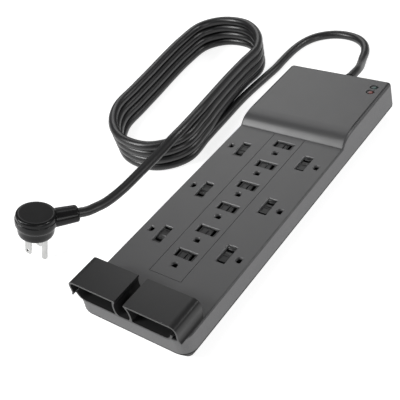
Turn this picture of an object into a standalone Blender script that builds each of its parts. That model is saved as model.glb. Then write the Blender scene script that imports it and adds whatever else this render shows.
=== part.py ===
"""Twelve-outlet power strip with a clip-on cord holder, a coiled mains lead and a flat grounded plug.

The strip lies on a surface at z = 0. X runs across it and +Y runs towards the end where the lead
leaves. The outlets are NEMA 5-15: six in a middle row, and three on each side turned outwards.
"""

import math

import bpy
import bmesh
from mathutils import Matrix, Vector

MM = 0.001
GAP = 0.3 * MM

# Housing: a grey cover over a black base pan
RIM_HALF_WIDTH = 51.5 * MM
FRONT_Y = -156.7 * MM
REAR_Y = 158.2 * MM
FRONT_CORNER = 11.0 * MM
REAR_CORNER = 4.5 * MM
RIM_Z = 11.0 * MM
DECK_Z = 25.0 * MM
TOP_Z = 33.0 * MM
WALL = 2.2 * MM
DRAFT = 0.8 * MM
CORNER_STEPS = 5
BASE_FLOOR = 2.0 * MM
BASE_BOTTOM_INSET = 6.5 * MM
BASE_FLOOR_INSET = 7.6 * MM
BASE_SHOULDER_Z = 9.4 * MM
LIP_TOP_Z = 13.0 * MM

# The cover's top surface from the deck up to the raised end, as (y, z) in millimetres
SLOPE = [
    (64.5, 25.0), (65.6, 25.3), (66.5, 26.2), (68.5, 28.2), (70.5, 29.9), (73.0, 31.2), (76.0, 32.1), (80.0, 32.7),
    (85.0, 33.0),
]

# Outlets
PITCH = 28.23 * MM
CENTRE_FIRST_Y = 53.25 * MM
SIDE_FIRST_Y = 36.8 * MM
SIDE_X = 29.4 * MM
BLADE_X = 6.35 * MM
GROUND_Y = -11.9 * MM
WINDOW_X = (-7.7 * MM, 10.3 * MM)
WINDOW_HALF_Y = 4.1 * MM
GROUND_HOLE_R = 2.7 * MM

# Socket blocks and contacts under the deck
BLOCK_TOP_Z = 20.4 * MM
BLOCK_BOTTOM_Z = 5.5 * MM
POCKET_TOP_Z = 18.9 * MM
CONTACT_TOP_Z = 18.4 * MM
CONTACT_BOTTOM_Z = 6.0 * MM
BUS_Z = (3.4 * MM, 4.2 * MM)
LEAF = 0.8 * MM
BLADE_GAP = 1.7 * MM

# Case screws
SCREWS = [(side * 38.0 * MM, y * MM) for y in (-138.0, 58.0, 122.0) for side in (-1, 1)]
BOSS_R = 3.5 * MM

# Rear end: lead exit, breaker, board, indicator lights
CORD_X = -2.5 * MM
EXIT_Z = 14.0 * MM
EXIT_HOLE_R = 7.0 * MM
BREAKER_X = -39.0 * MM
BREAKER_Z = 17.0 * MM
BUTTON_R = 3.4 * MM
BOARD = ((-30.0 * MM, 126.5 * MM, 6.0 * MM), (45.0 * MM, 149.8 * MM, 7.6 * MM))
LIGHT_X = 39.5 * MM
LIGHT_Y = {"green": 145.2 * MM, "red": 137.6 * MM}
LIGHT_RADII = (3.5 * MM, 3.0 * MM)

# Cord holder, clipped to the deck at the front end
CLIP_FRONT_Y = -158.2 * MM
CLIP_BACK_Y = -130.7 * MM
CLIP_T = 1.6 * MM
CLIP_TOP_Z = 42.0 * MM
CLIP_BOTTOM_Z = DECK_Z + GAP
CLIP_END_OUTER = [
    (43.5, 42.0), (46.5, 41.6), (48.6, 40.2), (49.6, 38.0), (49.8, 35.0), (49.6, 32.0), (49.8, 29.5), (51.2, 27.4),
]
CLIP_END_INNER = [
    (43.3, 40.4), (45.9, 40.0), (47.3, 39.1), (48.0, 37.6), (48.2, 35.0), (48.0, 32.0), (48.2, 29.2), (49.9, 26.7),
]
PEGS = [(x * MM, y * MM) for x in (-20.0, 20.0) for y in (-150.0, -139.0)]
PEG_SIZE = (5.0 * MM, 2.4 * MM)

# Mains lead
CORD_R = 4.25 * MM
HANK_HEIGHT = 34.0 * MM

# Middle line of the hank's stacked turns, seen from above, in millimetres
HANK_ROUTE = [
    (-104.0, 177.0), (-119.0, 201.5), (-144.0, 218.0), (-173.0, 217.0), (-192.0, 199.0), (-194.0, 167.5),
    (-191.5, 137.0), (-187.5, 106.0), (-184.0, 74.5), (-180.0, 44.0), (-163.0, 18.5), (-137.0, 3.5),
    (-106.0, 5.0), (-86.0, 26.0), (-87.0, 57.5), (-92.5, 87.0), (-97.0, 117.0), (-100.5, 147.0),
]
HANK_HALF_BAND = 5.0 * MM

# Plug: its face, and which way its top and its boot point
PLUG_FACE = Vector((-133.9, -119.6, 23.0)) * MM
PLUG_LEAN = math.radians(19.0)
PLUG_HEADING = math.radians(48.0)
PLUG_BODY_X = 2.5 * MM
BOOT_HEIGHT = 13.4 * MM
BOOT_TURN = math.radians(12.0)
BOOT_RISE = math.radians(3.0)
BOOT_START = 10.0 * MM
BOOT_LENGTH = 24.8 * MM
BLADE_LENGTH = 17.9 * MM
PIN_LENGTH = 21.3 * MM

# Route of the lead where it is not coiled: from the strain relief to the hank, in millimetres
LEAD_ROUTE = [
    (-2.5, 179.3, 14.0), (-2.6, 185.5, 13.7), (-3.4, 194.5, 12.2), (-6.0, 204.0, 9.2), (-10.0, 215.0, 6.0),
    (-14.0, 226.5, 4.5), (-18.0, 240.0, 4.3), (-25.5, 252.0, 4.3), (-37.5, 260.5, 4.3), (-52.8, 263.5, 4.3),
    (-67.0, 260.8, 4.3), (-79.5, 252.7, 4.3), (-87.0, 241.0, 4.3), (-90.5, 226.0, 4.3), (-91.2, 210.4, 4.3),
    (-90.9, 196.0, 4.3), (-90.4, 185.3, 4.3),
]

# The lead's first pass on the surface, beside the hank at first and then under its turns
LANDING_ROUTE = [
    (-90.4, 185.0, 0.0), (-91.6, 165.0, 0.0), (-92.8, 145.0, 0.0), (-93.2, 122.6, 0.0), (-91.6, 91.0, 0.0),
    (-90.1, 61.0, 0.0),
]

# Route of its tail: from the top of the hank towards the plug's boot, in millimetres
TAIL_ROUTE = [
    (-87.2, 62.3, 38.7), (-85.6, 44.0, 38.7), (-84.4, 26.0, 38.7), (-84.7, 13.1, 38.0), (-85.9, 2.4, 35.9),
    (-87.6, -8.9, 33.7), (-89.6, -18.5, 31.5), (-91.8, -27.7, 29.2), (-93.9, -37.1, 26.9), (-95.8, -45.2, 25.0),
    (-97.8, -52.7, 23.6), (-99.8, -59.9, 22.7), (-101.9, -67.0, 22.4), (-104.4, -73.4, 22.9),
]

COLLECTION = bpy.data.collections.new("power_strip")
CUTTERS = bpy.data.collections.new("cutters")


# ---------------------------------------------------------------- helpers

def clear_scene():
    """Start from an empty file."""
    for item in list(bpy.data.objects):
        bpy.data.objects.remove(item)


def material(name, colour, roughness, metallic=0.0):
    """A plain finish for one sub-part."""
    finish = bpy.data.materials.new(name)
    finish.use_nodes = True
    shader = finish.node_tree.nodes["Principled BSDF"]
    shader.inputs["Base Color"].default_value = (*colour, 1.0)
    shader.inputs["Roughness"].default_value = roughness
    shader.inputs["Metallic"].default_value = metallic
    finish.diffuse_color = (*colour, 1.0)
    return finish


def add(name, mesh, finish=None, matrix=None, cutter=False):
    """Put a mesh in the scene as a sub-part, or as a hidden cutter."""
    obj = bpy.data.objects.new(name, mesh)
    if matrix is not None:
        obj.matrix_world = matrix
    if cutter:
        CUTTERS.objects.link(obj)
        obj.hide_render = True
        obj.display_type = "WIRE"
    else:
        COLLECTION.objects.link(obj)
    if finish is not None:
        mesh.materials.clear()
        mesh.materials.append(finish)
    return obj


def mesh_from(bm, name):
    """Turn a bmesh into a mesh with its faces pointing out."""
    bmesh.ops.recalc_face_normals(bm, faces=bm.faces)
    mesh = bpy.data.meshes.new(name)
    bm.to_mesh(mesh)
    bm.free()
    return mesh


def box(low, high, name="box"):
    """A box mesh between two corners."""
    low, high = Vector(low), Vector(high)
    bm = bmesh.new()
    size = high - low
    place = Matrix.Translation((low + high) / 2) @ Matrix.Diagonal((*size, 1.0))
    bmesh.ops.create_cube(bm, size=1.0, matrix=place)
    return mesh_from(bm, name)


def cylinder(centre, radius, low, high, axis="Z", segments=16, top_radius=None, stretch=(1.0, 1.0)):
    """A cylinder or cone mesh along an axis, from low to high on that axis."""
    turn = {"Z": Matrix(), "X": Matrix.Rotation(math.pi / 2, 4, "Y"), "Y": Matrix.Rotation(-math.pi / 2, 4, "X")}
    middle = Vector((0.0, 0.0, (low + high) / 2))
    bm = bmesh.new()
    place = Matrix.Translation(centre) @ turn[axis] @ Matrix.Translation(middle)
    place = place @ Matrix.Diagonal((stretch[0], stretch[1], 1.0, 1.0))
    bmesh.ops.create_cone(bm, cap_ends=True, segments=segments, radius1=radius,
                          radius2=radius if top_radius is None else top_radius,
                          depth=high - low, matrix=place)
    return mesh_from(bm, "cylinder")


def evaluated(obj, name):
    """Bake an object's modifiers into a plain mesh and drop the object."""
    bpy.context.view_layer.update()
    graph = bpy.context.evaluated_depsgraph_get()
    mesh = bpy.data.meshes.new_from_object(obj.evaluated_get(graph))
    mesh.name = name
    matrix = obj.matrix_world.copy()
    bpy.data.objects.remove(obj)
    bm = bmesh.new()
    bm.from_mesh(mesh)
    bmesh.ops.remove_doubles(bm, verts=bm.verts, dist=0.00001)
    bmesh.ops.transform(bm, matrix=matrix, verts=bm.verts)
    bmesh.ops.recalc_face_normals(bm, faces=bm.faces)
    bm.to_mesh(mesh)
    bm.free()
    return mesh


def extruded(outline, low, high, name, matrix=None):
    """A flat outline in XY, thick from low to high along Z."""
    curve = bpy.data.curves.new(name, "CURVE")
    curve.dimensions = "2D"
    curve.fill_mode = "BOTH"
    curve.extrude = (high - low) / 2
    spline = curve.splines.new("POLY")
    spline.points.add(len(outline) - 1)
    for point, (x, y) in zip(spline.points, outline):
        point.co = (x, y, 0.0, 1.0)
    spline.use_cyclic_u = True
    guide = add(name, curve, cutter=True)
    guide.matrix_world = (matrix or Matrix()) @ Matrix.Translation((0.0, 0.0, (low + high) / 2))
    return evaluated(guide, name)


def turned(profile, name, matrix=None, segments=24):
    """A solid turned about Z from a profile of (radius, height) points, top to bottom."""
    mesh = bpy.data.meshes.new(name)
    points = [(radius, 0.0, height) for radius, height in profile]
    mesh.from_pydata(points, [(i, i + 1) for i in range(len(points) - 1)], [])
    guide = add(name, mesh, cutter=True)
    screw = guide.modifiers.new("turn", "SCREW")
    screw.steps = segments
    screw.render_steps = segments
    screw.use_merge_vertices = True
    screw.merge_threshold = 0.00001
    if matrix is not None:
        guide.matrix_world = matrix
    return evaluated(guide, name)


def arc(centre_x, centre_y, radius, start, end, steps):
    """Points on a circular arc; angles in degrees."""
    points = []
    for i in range(steps + 1):
        angle = math.radians(start + (end - start) * i / steps)
        points.append((centre_x + radius * math.cos(angle), centre_y + radius * math.sin(angle)))
    return points


def combine(obj, meshes, operation):
    """Boolean a set of separate shapes into or out of an object."""
    group = bpy.data.collections.new(f"{obj.name}_{operation.lower()}")
    CUTTERS.children.link(group)
    for i, mesh in enumerate(meshes):
        tool = bpy.data.objects.new(f"{group.name}_{i}", mesh)
        tool.hide_render = True
        tool.display_type = "WIRE"
        group.objects.link(tool)
    boolean = obj.modifiers.new(operation.lower(), "BOOLEAN")
    boolean.operation = operation
    boolean.operand_type = "COLLECTION"
    boolean.collection = group
    boolean.solver = "EXACT"
    return obj


def smooth_route(points, step, closed=False):
    """Points a fixed step apart on a smooth curve through the given ones, open or closed on itself."""
    points = [Vector(p) * MM for p in points]
    ends = [2 * points[0] - points[1]] + points + [2 * points[-1] - points[-2]]
    if closed:
        ends = [points[-1]] + points + points[:2]
        points = points + points[:1]
    fine = []
    for a, b, c, d in zip(ends, ends[1:], ends[2:], ends[3:]):
        for i in range(12):
            t = i / 12
            fine.append(0.5 * (2 * b + (c - a) * t + (2 * a - 5 * b + 4 * c - d) * t ** 2
                               + (3 * b - a - 3 * c + d) * t ** 3))
    fine.append(points[-1])
    lengths = [0.0]
    for a, b in zip(fine, fine[1:]):
        lengths.append(lengths[-1] + (b - a).length)
    count = max(2, round(lengths[-1] / step))
    route = []
    j = 0
    for i in range(count + 1):
        target = lengths[-1] * i / count
        while j < len(fine) - 2 and lengths[j + 1] < target:
            j += 1
        part = (target - lengths[j]) / (lengths[j + 1] - lengths[j])
        route.append(fine[j].lerp(fine[j + 1], part))
    return route


def tube(name, points, radius, finish, resolution=2):
    """A round cord or wire along a route."""
    curve = bpy.data.curves.new(name, "CURVE")
    curve.dimensions = "3D"
    curve.bevel_depth = radius
    curve.bevel_resolution = resolution
    curve.use_fill_caps = True
    spline = curve.splines.new("POLY")
    spline.points.add(len(points) - 1)
    for target, point in zip(spline.points, points):
        target.co = (*point, 1.0)
    obj = bpy.data.objects.new(name, curve)
    curve.materials.append(finish)
    COLLECTION.objects.link(obj)
    return obj


# ---------------------------------------------------------------- housing

def slope_height(y):
    """Height of the cover's top surface: the deck, a steep slope with a long rounded crest, the raised end."""
    if y <= SLOPE[0][0] * MM:
        return DECK_Z
    for (y_a, z_a), (y_b, z_b) in zip(SLOPE, SLOPE[1:]):
        if y <= y_b * MM:
            return (z_a + (z_b - z_a) * (y / MM - y_a) / (y_b - y_a)) * MM
    return TOP_Z


def outline_side(inset):
    """Right-hand half of the housing's outline, front to rear, moved in by an inset."""
    half = RIM_HALF_WIDTH - inset
    front = max(FRONT_CORNER - inset, MM)
    rear = max(REAR_CORNER - inset, MM)
    side = arc(half - front, FRONT_Y + inset + front, front, -90, 0, CORNER_STEPS)
    side += [(half, y * MM) for y, z in SLOPE]
    side += arc(half - rear, REAR_Y - inset - rear, rear, 0, 90, CORNER_STEPS)
    return side


def shell(name, rings):
    """A closed body lofted through rings of (inset, height function), capped across at both ends."""
    bm = bmesh.new()
    loops = []
    for inset, height in rings:
        side = outline_side(inset)
        right = [bm.verts.new((x, y, height(y))) for x, y in side]
        left = [bm.verts.new((-x, y, height(y))) for x, y in side]
        loops.append((right, left))
    for (right_a, left_a), (right_b, left_b) in zip(loops, loops[1:]):
        loop_a = right_a + left_a[::-1]
        loop_b = right_b + left_b[::-1]
        for i in range(len(loop_a)):
            j = (i + 1) % len(loop_a)
            bm.faces.new((loop_a[i], loop_a[j], loop_b[j], loop_b[i]))
    for right, left in (loops[0], loops[-1]):
        for i in range(len(right) - 1):
            bm.faces.new((right[i], right[i + 1], left[i + 1], left[i]))
    return mesh_from(bm, name)


def level(height):
    """A flat ring's height function."""
    return lambda y: height


def below_top(drop):
    """A ring that follows the cover's top surface, a little under it."""
    return lambda y: slope_height(y) - drop


def outlet_frames():
    """Name and placement of each outlet: origin between its blade slots, +Y away from its ground hole."""
    frames = []
    for i in range(6):
        place = Matrix.Translation((0.0, CENTRE_FIRST_Y - i * PITCH, DECK_Z))
        frames.append((f"centre_{i + 1}", place))
    for i in range(3):
        y = SIDE_FIRST_Y - i * 2 * PITCH
        left = Matrix.Translation((-SIDE_X, y, DECK_Z)) @ Matrix.Rotation(-math.pi / 2, 4, "Z")
        right = Matrix.Translation((SIDE_X, y, DECK_Z)) @ Matrix.Rotation(math.pi / 2, 4, "Z")
        frames.append((f"left_{i + 1}", left))
        frames.append((f"right_{i + 1}", right))
    return frames


def ground_hole(radius, low, high):
    """The D-shaped ground opening of one outlet: round towards the blades, flat behind."""
    middle = GROUND_Y - GAP
    outline = arc(0.0, middle, radius, 0, 180, 8)
    outline += [(-radius, middle - 2.0 * MM), (radius, middle - 2.0 * MM)]
    return extruded(outline, low, high, "ground_hole")


def placed(mesh, matrix):
    """Move a mesh's points by a matrix."""
    mesh.transform(matrix)
    return mesh


def make_top_cover(finish):
    """Grey cover: drafted walls, rounded rim, deck, slope and raised end, with its bosses and openings."""
    rings = [
        (0.0, level(RIM_Z)), (DRAFT, below_top(2.0 * MM)), (DRAFT + 0.5 * MM, below_top(0.7 * MM)),
        (DRAFT + 1.6 * MM, below_top(0.0)),
    ]
    inner = [
        (DRAFT + WALL + 1.0 * MM, below_top(WALL)), (DRAFT + WALL, below_top(WALL + 1.0 * MM)),
        (WALL, level(RIM_Z)),
    ]
    cover = add("top_cover", shell("top_cover", rings), finish)
    hollow = inner + [(WALL, level(RIM_Z - 5.0 * MM))]
    bosses = []
    for x, y in SCREWS:
        top = slope_height(y) - WALL + 0.3 * MM
        bosses.append(cylinder((x, y, 0.0), BOSS_R, 4.5 * MM, top, segments=12))
    pilots = [cylinder((x, y, 0.0), 1.7 * MM, 3.5 * MM, 14.5 * MM, segments=10) for x, y in SCREWS]
    combine(cover, [shell("hollow", hollow)], "DIFFERENCE")
    combine(cover, bosses, "UNION")
    cuts = list(pilots)
    for name, place in outlet_frames():
        window = box((WINDOW_X[0], -WINDOW_HALF_Y, -4.0 * MM), (WINDOW_X[1], WINDOW_HALF_Y, 2.0 * MM))
        cuts.append(placed(window, place))
        cuts.append(placed(ground_hole(GROUND_HOLE_R, -4.0 * MM, 2.0 * MM), place))
    for y in LIGHT_Y.values():
        cuts.append(light_shape(GAP, TOP_Z - 5.0 * MM, TOP_Z + 2.0 * MM, y))
    for x, y in PEGS:
        half = Vector((PEG_SIZE[0] / 2 + GAP, PEG_SIZE[1] / 2 + GAP, 0.0))
        cuts.append(box(Vector((x, y, DECK_Z - 5.0 * MM)) - half, Vector((x, y, DECK_Z + 2.0 * MM)) + half))
    cuts.append(cylinder((CORD_X, 0.0, EXIT_Z), EXIT_HOLE_R, 150.0 * MM, 165.0 * MM, axis="Y", segments=20))
    cuts.append(cylinder((BREAKER_X, 0.0, BREAKER_Z), BUTTON_R + 0.4 * MM, 150.0 * MM, 165.0 * MM, axis="Y"))
    combine(cover, cuts, "DIFFERENCE")
    return cover


def light_shape(margin, low, high, y):
    """An oval window or light guide over one indicator."""
    radii = (LIGHT_RADII[0] + margin, LIGHT_RADII[1] + margin)
    return cylinder((LIGHT_X, y, 0.0), 1.0, low, high, segments=16, stretch=radii)


def keyhole(y):
    """Wall-hanging slot through the base's floor: a round entry and a narrow end towards the cord."""
    outline = arc(0.0, 0.0, 4.5 * MM, 150, 390, 12)
    outline += arc(0.0, 9.0 * MM, 2.3 * MM, 0, 180, 6)
    return extruded(outline, -1.0 * MM, BASE_FLOOR + 1.0 * MM, "keyhole", Matrix.Translation((0.0, y, 0.0)))


def make_base_cover(finish):
    """Black base pan: flat bottom, sides that lean out, and a lip that fits inside the cover."""
    rings = [
        (BASE_BOTTOM_INSET, level(0.0)), (0.3 * MM, level(BASE_SHOULDER_Z)), (0.3 * MM, level(RIM_Z - GAP)),
        (WALL + GAP, level(RIM_Z - GAP)), (WALL + GAP, level(LIP_TOP_Z)), (3.9 * MM, level(LIP_TOP_Z)),
        (3.9 * MM, level(RIM_Z - 0.8 * MM)), (BASE_FLOOR_INSET, level(BASE_FLOOR)),
    ]
    base = add("base_cover", shell("base_cover", rings), finish)
    floor = BASE_FLOOR - 0.3 * MM
    posts = [cylinder((x, y, 0.0), 4.2 * MM, floor, 4.2 * MM, segments=12) for x, y in SCREWS]
    for x in (-26.0 * MM, 39.0 * MM):
        for y in (131.0 * MM, 146.0 * MM):
            posts.append(cylinder((x, y, 0.0), 2.4 * MM, floor, BOARD[0][2] - GAP, segments=8))
    for y in (-104.6 * MM, 58.0 * MM):
        posts.append(box((-9.0 * MM, y - 0.6 * MM, floor), (9.0 * MM, y + 0.6 * MM, BLOCK_BOTTOM_Z - GAP)))
    for side in (-1, 1):
        for y in (-87.4 * MM, 48.3 * MM):
            low, high = sorted((side * 27.0 * MM, side * 42.0 * MM))
            posts.append(box((low, y - 0.6 * MM, floor), (high, y + 0.6 * MM, BLOCK_BOTTOM_Z - GAP)))
    combine(base, posts, "UNION")
    cuts = [keyhole(-126.0 * MM), keyhole(112.0 * MM)]
    for x, y in SCREWS:
        cuts.append(cylinder((x, y, 0.0), 3.3 * MM, -1.0 * MM, 2.2 * MM, segments=16))
        cuts.append(cylinder((x, y, 0.0), 1.7 * MM, 1.0 * MM, 5.0 * MM, segments=10))
    cuts.append(cylinder((CORD_X, 0.0, EXIT_Z), EXIT_HOLE_R, 150.0 * MM, 165.0 * MM, axis="Y", segments=20))
    combine(base, cuts, "DIFFERENCE")
    return base


def make_screw(index, x, y, finish):
    """A pan-head screw from below, through the base into a boss of the cover."""
    profile = [(0.0, 13.5), (1.0, 13.2), (1.4, 12.2), (1.4, 2.0), (3.0, 1.9), (3.0, 0.9), (2.2, 0.4), (0.0, 0.3)]
    points = [(radius * MM, height * MM) for radius, height in profile]
    return add(f"case_screw_{index}", turned(points, "case_screw", Matrix.Translation((x, y, 0.0)), 10), finish)


# ---------------------------------------------------------------- outlets

def shutter_mesh():
    """Sliding safety cover, in its open place: a runner plate with two blade openings and raised blocks."""
    runner_top = -WALL - 0.4 * MM
    block_top = -1.2 * MM
    plate = add("shutter", box((-9.6 * MM, -4.9 * MM, -4.1 * MM), (12.0 * MM, 4.9 * MM, runner_top)), cutter=True)
    half = WINDOW_HALF_Y - 0.35 * MM
    low = runner_top - 0.3 * MM
    raised = [
        box((-5.1 * MM, -half, low), (5.1 * MM, half, block_top)),
        box((7.6 * MM, -half, low), (9.9 * MM, half, block_top)),
    ]
    combine(plate, raised, "UNION")
    cuts = [
        box((-7.5 * MM, -3.95 * MM, -5.0 * MM), (-5.1 * MM, 3.95 * MM, 0.0)),
        box((5.1 * MM, -3.4 * MM, -5.0 * MM), (7.6 * MM, 3.4 * MM, 0.0)),
        box((-4.2 * MM, -2.9 * MM, -2.0 * MM), (1.4 * MM, 2.9 * MM, 0.0)),
        box((2.4 * MM, -half - MM, -1.8 * MM), (3.4 * MM, half + MM, 0.0)),
    ]
    combine(plate, cuts, "DIFFERENCE")
    return evaluated(plate, "outlet_shutter")


def slots_and_sockets(frames):
    """Everything cut from a socket block: contact pockets, blade slots and ground sockets."""
    top = POCKET_TOP_Z - DECK_Z
    bottom = BLOCK_BOTTOM_Z - DECK_Z - MM
    roof = BLOCK_TOP_Z - DECK_Z + MM
    cuts = []
    for place in frames:
        for x, half in ((-BLADE_X, 4.15 * MM), (BLADE_X, 3.6 * MM)):
            pocket = box((x - 1.95 * MM, -4.4 * MM, bottom), (x + 1.95 * MM, 4.4 * MM, top))
            slot = box((x - MM, -half, top - MM), (x + MM, half, roof))
            cuts += [placed(pocket, place), placed(slot, place)]
        centre = (0.0, GROUND_Y, 0.0)
        cuts.append(placed(cylinder(centre, 3.6 * MM, bottom, top, segments=12), place))
        cuts.append(placed(cylinder(centre, 2.6 * MM, top - MM, roof, segments=12), place))
    return cuts


def make_socket_block(name, low, high, frames, finish):
    """Black insulating block that holds one row's contacts."""
    block = add(name, box((*low, BLOCK_BOTTOM_Z), (*high, BLOCK_TOP_Z)), finish)
    pockets = slots_and_sockets(frames)
    combine(block, pockets[0::6] + pockets[2::6] + pockets[4::6], "DIFFERENCE")
    combine(block, pockets[1::6] + pockets[3::6] + pockets[5::6], "DIFFERENCE")
    return block


def make_blade_bus(name, frames, x, strip_x, finish):
    """One polarity's brass strip: a flat bar with a U-shaped gripper up to each outlet's blade slot."""
    points = [place @ Vector((x, 0.0, 0.0)) for place in frames]
    low_y = min(p.y for p in points) - 3.8 * MM
    high_y = max(p.y for p in points) + 3.8 * MM
    strip = add(name, box((strip_x - 1.4 * MM, low_y, BUS_Z[0]), (strip_x + 1.4 * MM, high_y, BUS_Z[1])), finish)
    outer = BLADE_GAP / 2 + LEAF
    bottom = CONTACT_BOTTOM_Z - DECK_Z
    grips = []
    gaps = []
    for place, point in zip(frames, points):
        grip = box((x - outer, -3.8 * MM, bottom), (x + outer, 3.8 * MM, CONTACT_TOP_Z - DECK_Z))
        gap = box((x - BLADE_GAP / 2, -5.0 * MM, bottom + LEAF), (x + BLADE_GAP / 2, 5.0 * MM, 0.0))
        grips.append(placed(grip, place))
        gaps.append(placed(gap, place))
        tab_low = (strip_x - MM, point.y - 1.2 * MM, BUS_Z[1] - 0.3 * MM)
        tab_high = (strip_x + MM, point.y + 1.2 * MM, CONTACT_BOTTOM_Z + 0.4 * MM)
        grips.append(box(tab_low, tab_high))
    combine(strip, grips, "UNION")
    combine(strip, gaps, "DIFFERENCE")
    return strip


def make_ground_bus(name, frames, finish):
    """The ground strip: a flat bar with a round socket under each outlet's ground hole."""
    points = [place @ Vector((0.0, GROUND_Y, 0.0)) for place in frames]
    x = points[0].x
    low_y = min(p.y for p in points) - 3.5 * MM
    high_y = max(p.y for p in points) + 3.5 * MM
    strip = add(name, box((x - 2.0 * MM, low_y, BUS_Z[0]), (x + 2.0 * MM, high_y, BUS_Z[1])), finish)
    sockets = [cylinder((x, p.y, 0.0), 3.1 * MM, BUS_Z[0] + 0.2 * MM, CONTACT_TOP_Z, segments=12) for p in points]
    bores = [cylinder((x, p.y, 0.0), 2.45 * MM, BUS_Z[1] + LEAF, CONTACT_TOP_Z + MM, segments=12) for p in points]
    combine(strip, sockets, "UNION")
    combine(strip, bores, "DIFFERENCE")
    return strip


# ---------------------------------------------------------------- rear end

def make_electrics(finishes):
    """Breaker with its reset button, board, surge parts, indicator lights and their light guides."""
    body_low = (BREAKER_X - 5.8 * MM, 130.0 * MM, 9.0 * MM)
    body_high = (BREAKER_X + 7.0 * MM, 153.4 * MM, 25.0 * MM)
    body = add("breaker_body", box(body_low, body_high), finishes["black"])
    bore = cylinder((BREAKER_X, 0.0, BREAKER_Z), BUTTON_R + 0.4 * MM, 147.0 * MM, 160.0 * MM, axis="Y")
    combine(body, [bore], "DIFFERENCE")
    middle = Matrix.Translation((BREAKER_X, 150.0 * MM, BREAKER_Z)) @ Matrix.Rotation(-math.pi / 2, 4, "X")
    button_profile = [(0.0, 9.6), (2.7, 9.5), (BUTTON_R / MM, 8.9), (BUTTON_R / MM, 0.0), (0.0, 0.0)]
    button = turned([(r * MM, h * MM) for r, h in button_profile], "reset_button", segments=20)
    add("reset_button", button, finishes["button"], middle)
    add("circuit_board", box(*BOARD), finishes["board"])
    board_top = BOARD[1][2] + GAP
    for i in range(3):
        x = (11.0 + 8.0 * i) * MM
        disc = cylinder((0.0, 138.0 * MM, board_top + 7.0 * MM), 7.0 * MM, x - 2.2 * MM, x + 2.2 * MM, axis="X")
        add(f"varistor_{i + 1}", disc, finishes["varistor"])
    fuse = cylinder((0.0, 138.0 * MM, board_top + 2.2 * MM), 2.2 * MM, -26.0 * MM, -13.0 * MM, axis="X", segments=12)
    add("thermal_fuse", fuse, finishes["steel"])
    for colour, y in LIGHT_Y.items():
        lamp = [(0.0, 6.0), (1.6, 5.6), (2.4, 4.2), (2.4, 0.0), (0.0, 0.0)]
        place = Matrix.Translation((LIGHT_X, y, board_top))
        add(f"led_{colour}", turned([(r * MM, h * MM) for r, h in lamp], "led", place, 12), finishes[f"led_{colour}"])
        add(f"lens_{colour}", light_shape(0.0, 15.0 * MM, TOP_Z - 0.4 * MM, y), finishes[f"lens_{colour}"])
    for i, name in enumerate(("line", "neutral", "ground")):
        x = -7.0 + 4.5 * i
        route = smooth_route([(x, 150.3, 16.0), (x, 148.0, 15.4), (x, 145.8, 12.6), (x, 145.0, 8.4)], 2.0 * MM)
        tube(f"wire_{name}", route, 1.3 * MM, finishes[f"wire_{name}"])


def make_strain_relief(finish):
    """Tapered sleeve that grips the lead where it leaves the housing, with a collar inside the wall."""
    profile = [
        (0.0, 178.8), (4.8, 178.8), (5.1, 175.0), (5.8, 167.0), (6.8, 161.0), (8.0, 160.2), (8.0, 158.7),
        (EXIT_HOLE_R / MM - 0.35, 158.6), (EXIT_HOLE_R / MM - 0.35, 152.1), (8.0, 152.0), (8.0, 150.7), (0.0, 150.7),
    ]
    place = Matrix.Translation((CORD_X, 0.0, EXIT_Z)) @ Matrix.Rotation(-math.pi / 2, 4, "X")
    points = [(radius * MM, height * MM) for radius, height in profile]
    return add("strain_relief", turned(points, "strain_relief", place, 16), finish)


# ---------------------------------------------------------------- cord holder

def clip_half_outline():
    """Right half of the holder's outline as (x, z) in millimetres, from its underside round to its middle."""
    t = CLIP_T / MM
    low = CLIP_BOTTOM_Z / MM
    top = CLIP_TOP_Z / MM
    tip_x, tip_z, tip_r = 36.0, low + 8.6, 8.6
    outline = [(0.0, low)]
    outline += arc(tip_x, tip_z, tip_r, -90, -8, 6)
    outline += arc(tip_x, tip_z, tip_r - t, -8, -90, 6)
    outline += [(7.4, low + t), (8.2, 29.8), (8.3, 33.0), (7.6, 37.0), (6.6, top - t)]
    outline += [(x, z) for x, z in CLIP_END_INNER] + [(x, z) for x, z in CLIP_END_OUTER[::-1]]
    outline += [(4.1, top), (4.1, top - 1.2), (5.9, 37.5), (6.7, 33.5), (6.5, 30.3), (5.0, low + t + 0.6), (3.0, low + t)]
    return outline


def make_cord_clip(finish):
    """Springy cord holder: two side channels and a middle one, open where cords are pressed in."""
    right = clip_half_outline()
    left = [(-x, z) for x, z in right[::-1] if x > 0.0]
    outline = [(x * MM, z * MM) for x, z in right + left]
    upright = Matrix.Rotation(math.pi / 2, 4, "X")
    body = extruded(outline, -CLIP_BACK_Y, -CLIP_FRONT_Y, "cord_clip", upright)
    clip = add("cord_clip", body, finish)
    pegs = []
    for x, y in PEGS:
        half = Vector((PEG_SIZE[0] / 2, PEG_SIZE[1] / 2, 0.0))
        pegs.append(box(Vector((x, y, DECK_Z - 6.0 * MM)) - half, Vector((x, y, CLIP_BOTTOM_Z + 0.8 * MM)) + half))
    combine(clip, pegs, "UNION")
    return clip


# ---------------------------------------------------------------- mains lead and plug

def plug_axes():
    """The plug's directions: out of its top, towards its ground pin, and along its boot."""
    heading = Vector((math.cos(PLUG_HEADING), math.sin(PLUG_HEADING), 0.0))
    up = Vector((0.0, 0.0, 1.0)) * math.cos(PLUG_LEAN) + heading * math.sin(PLUG_LEAN)
    lead = heading * math.cos(PLUG_LEAN) - Vector((0.0, 0.0, 1.0)) * math.sin(PLUG_LEAN)
    side = up.cross(lead)
    to_pin = (lead - side).normalized()
    boot = (lead * math.cos(BOOT_TURN) + side * math.sin(BOOT_TURN)).normalized()
    return up, to_pin, boot


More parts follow.
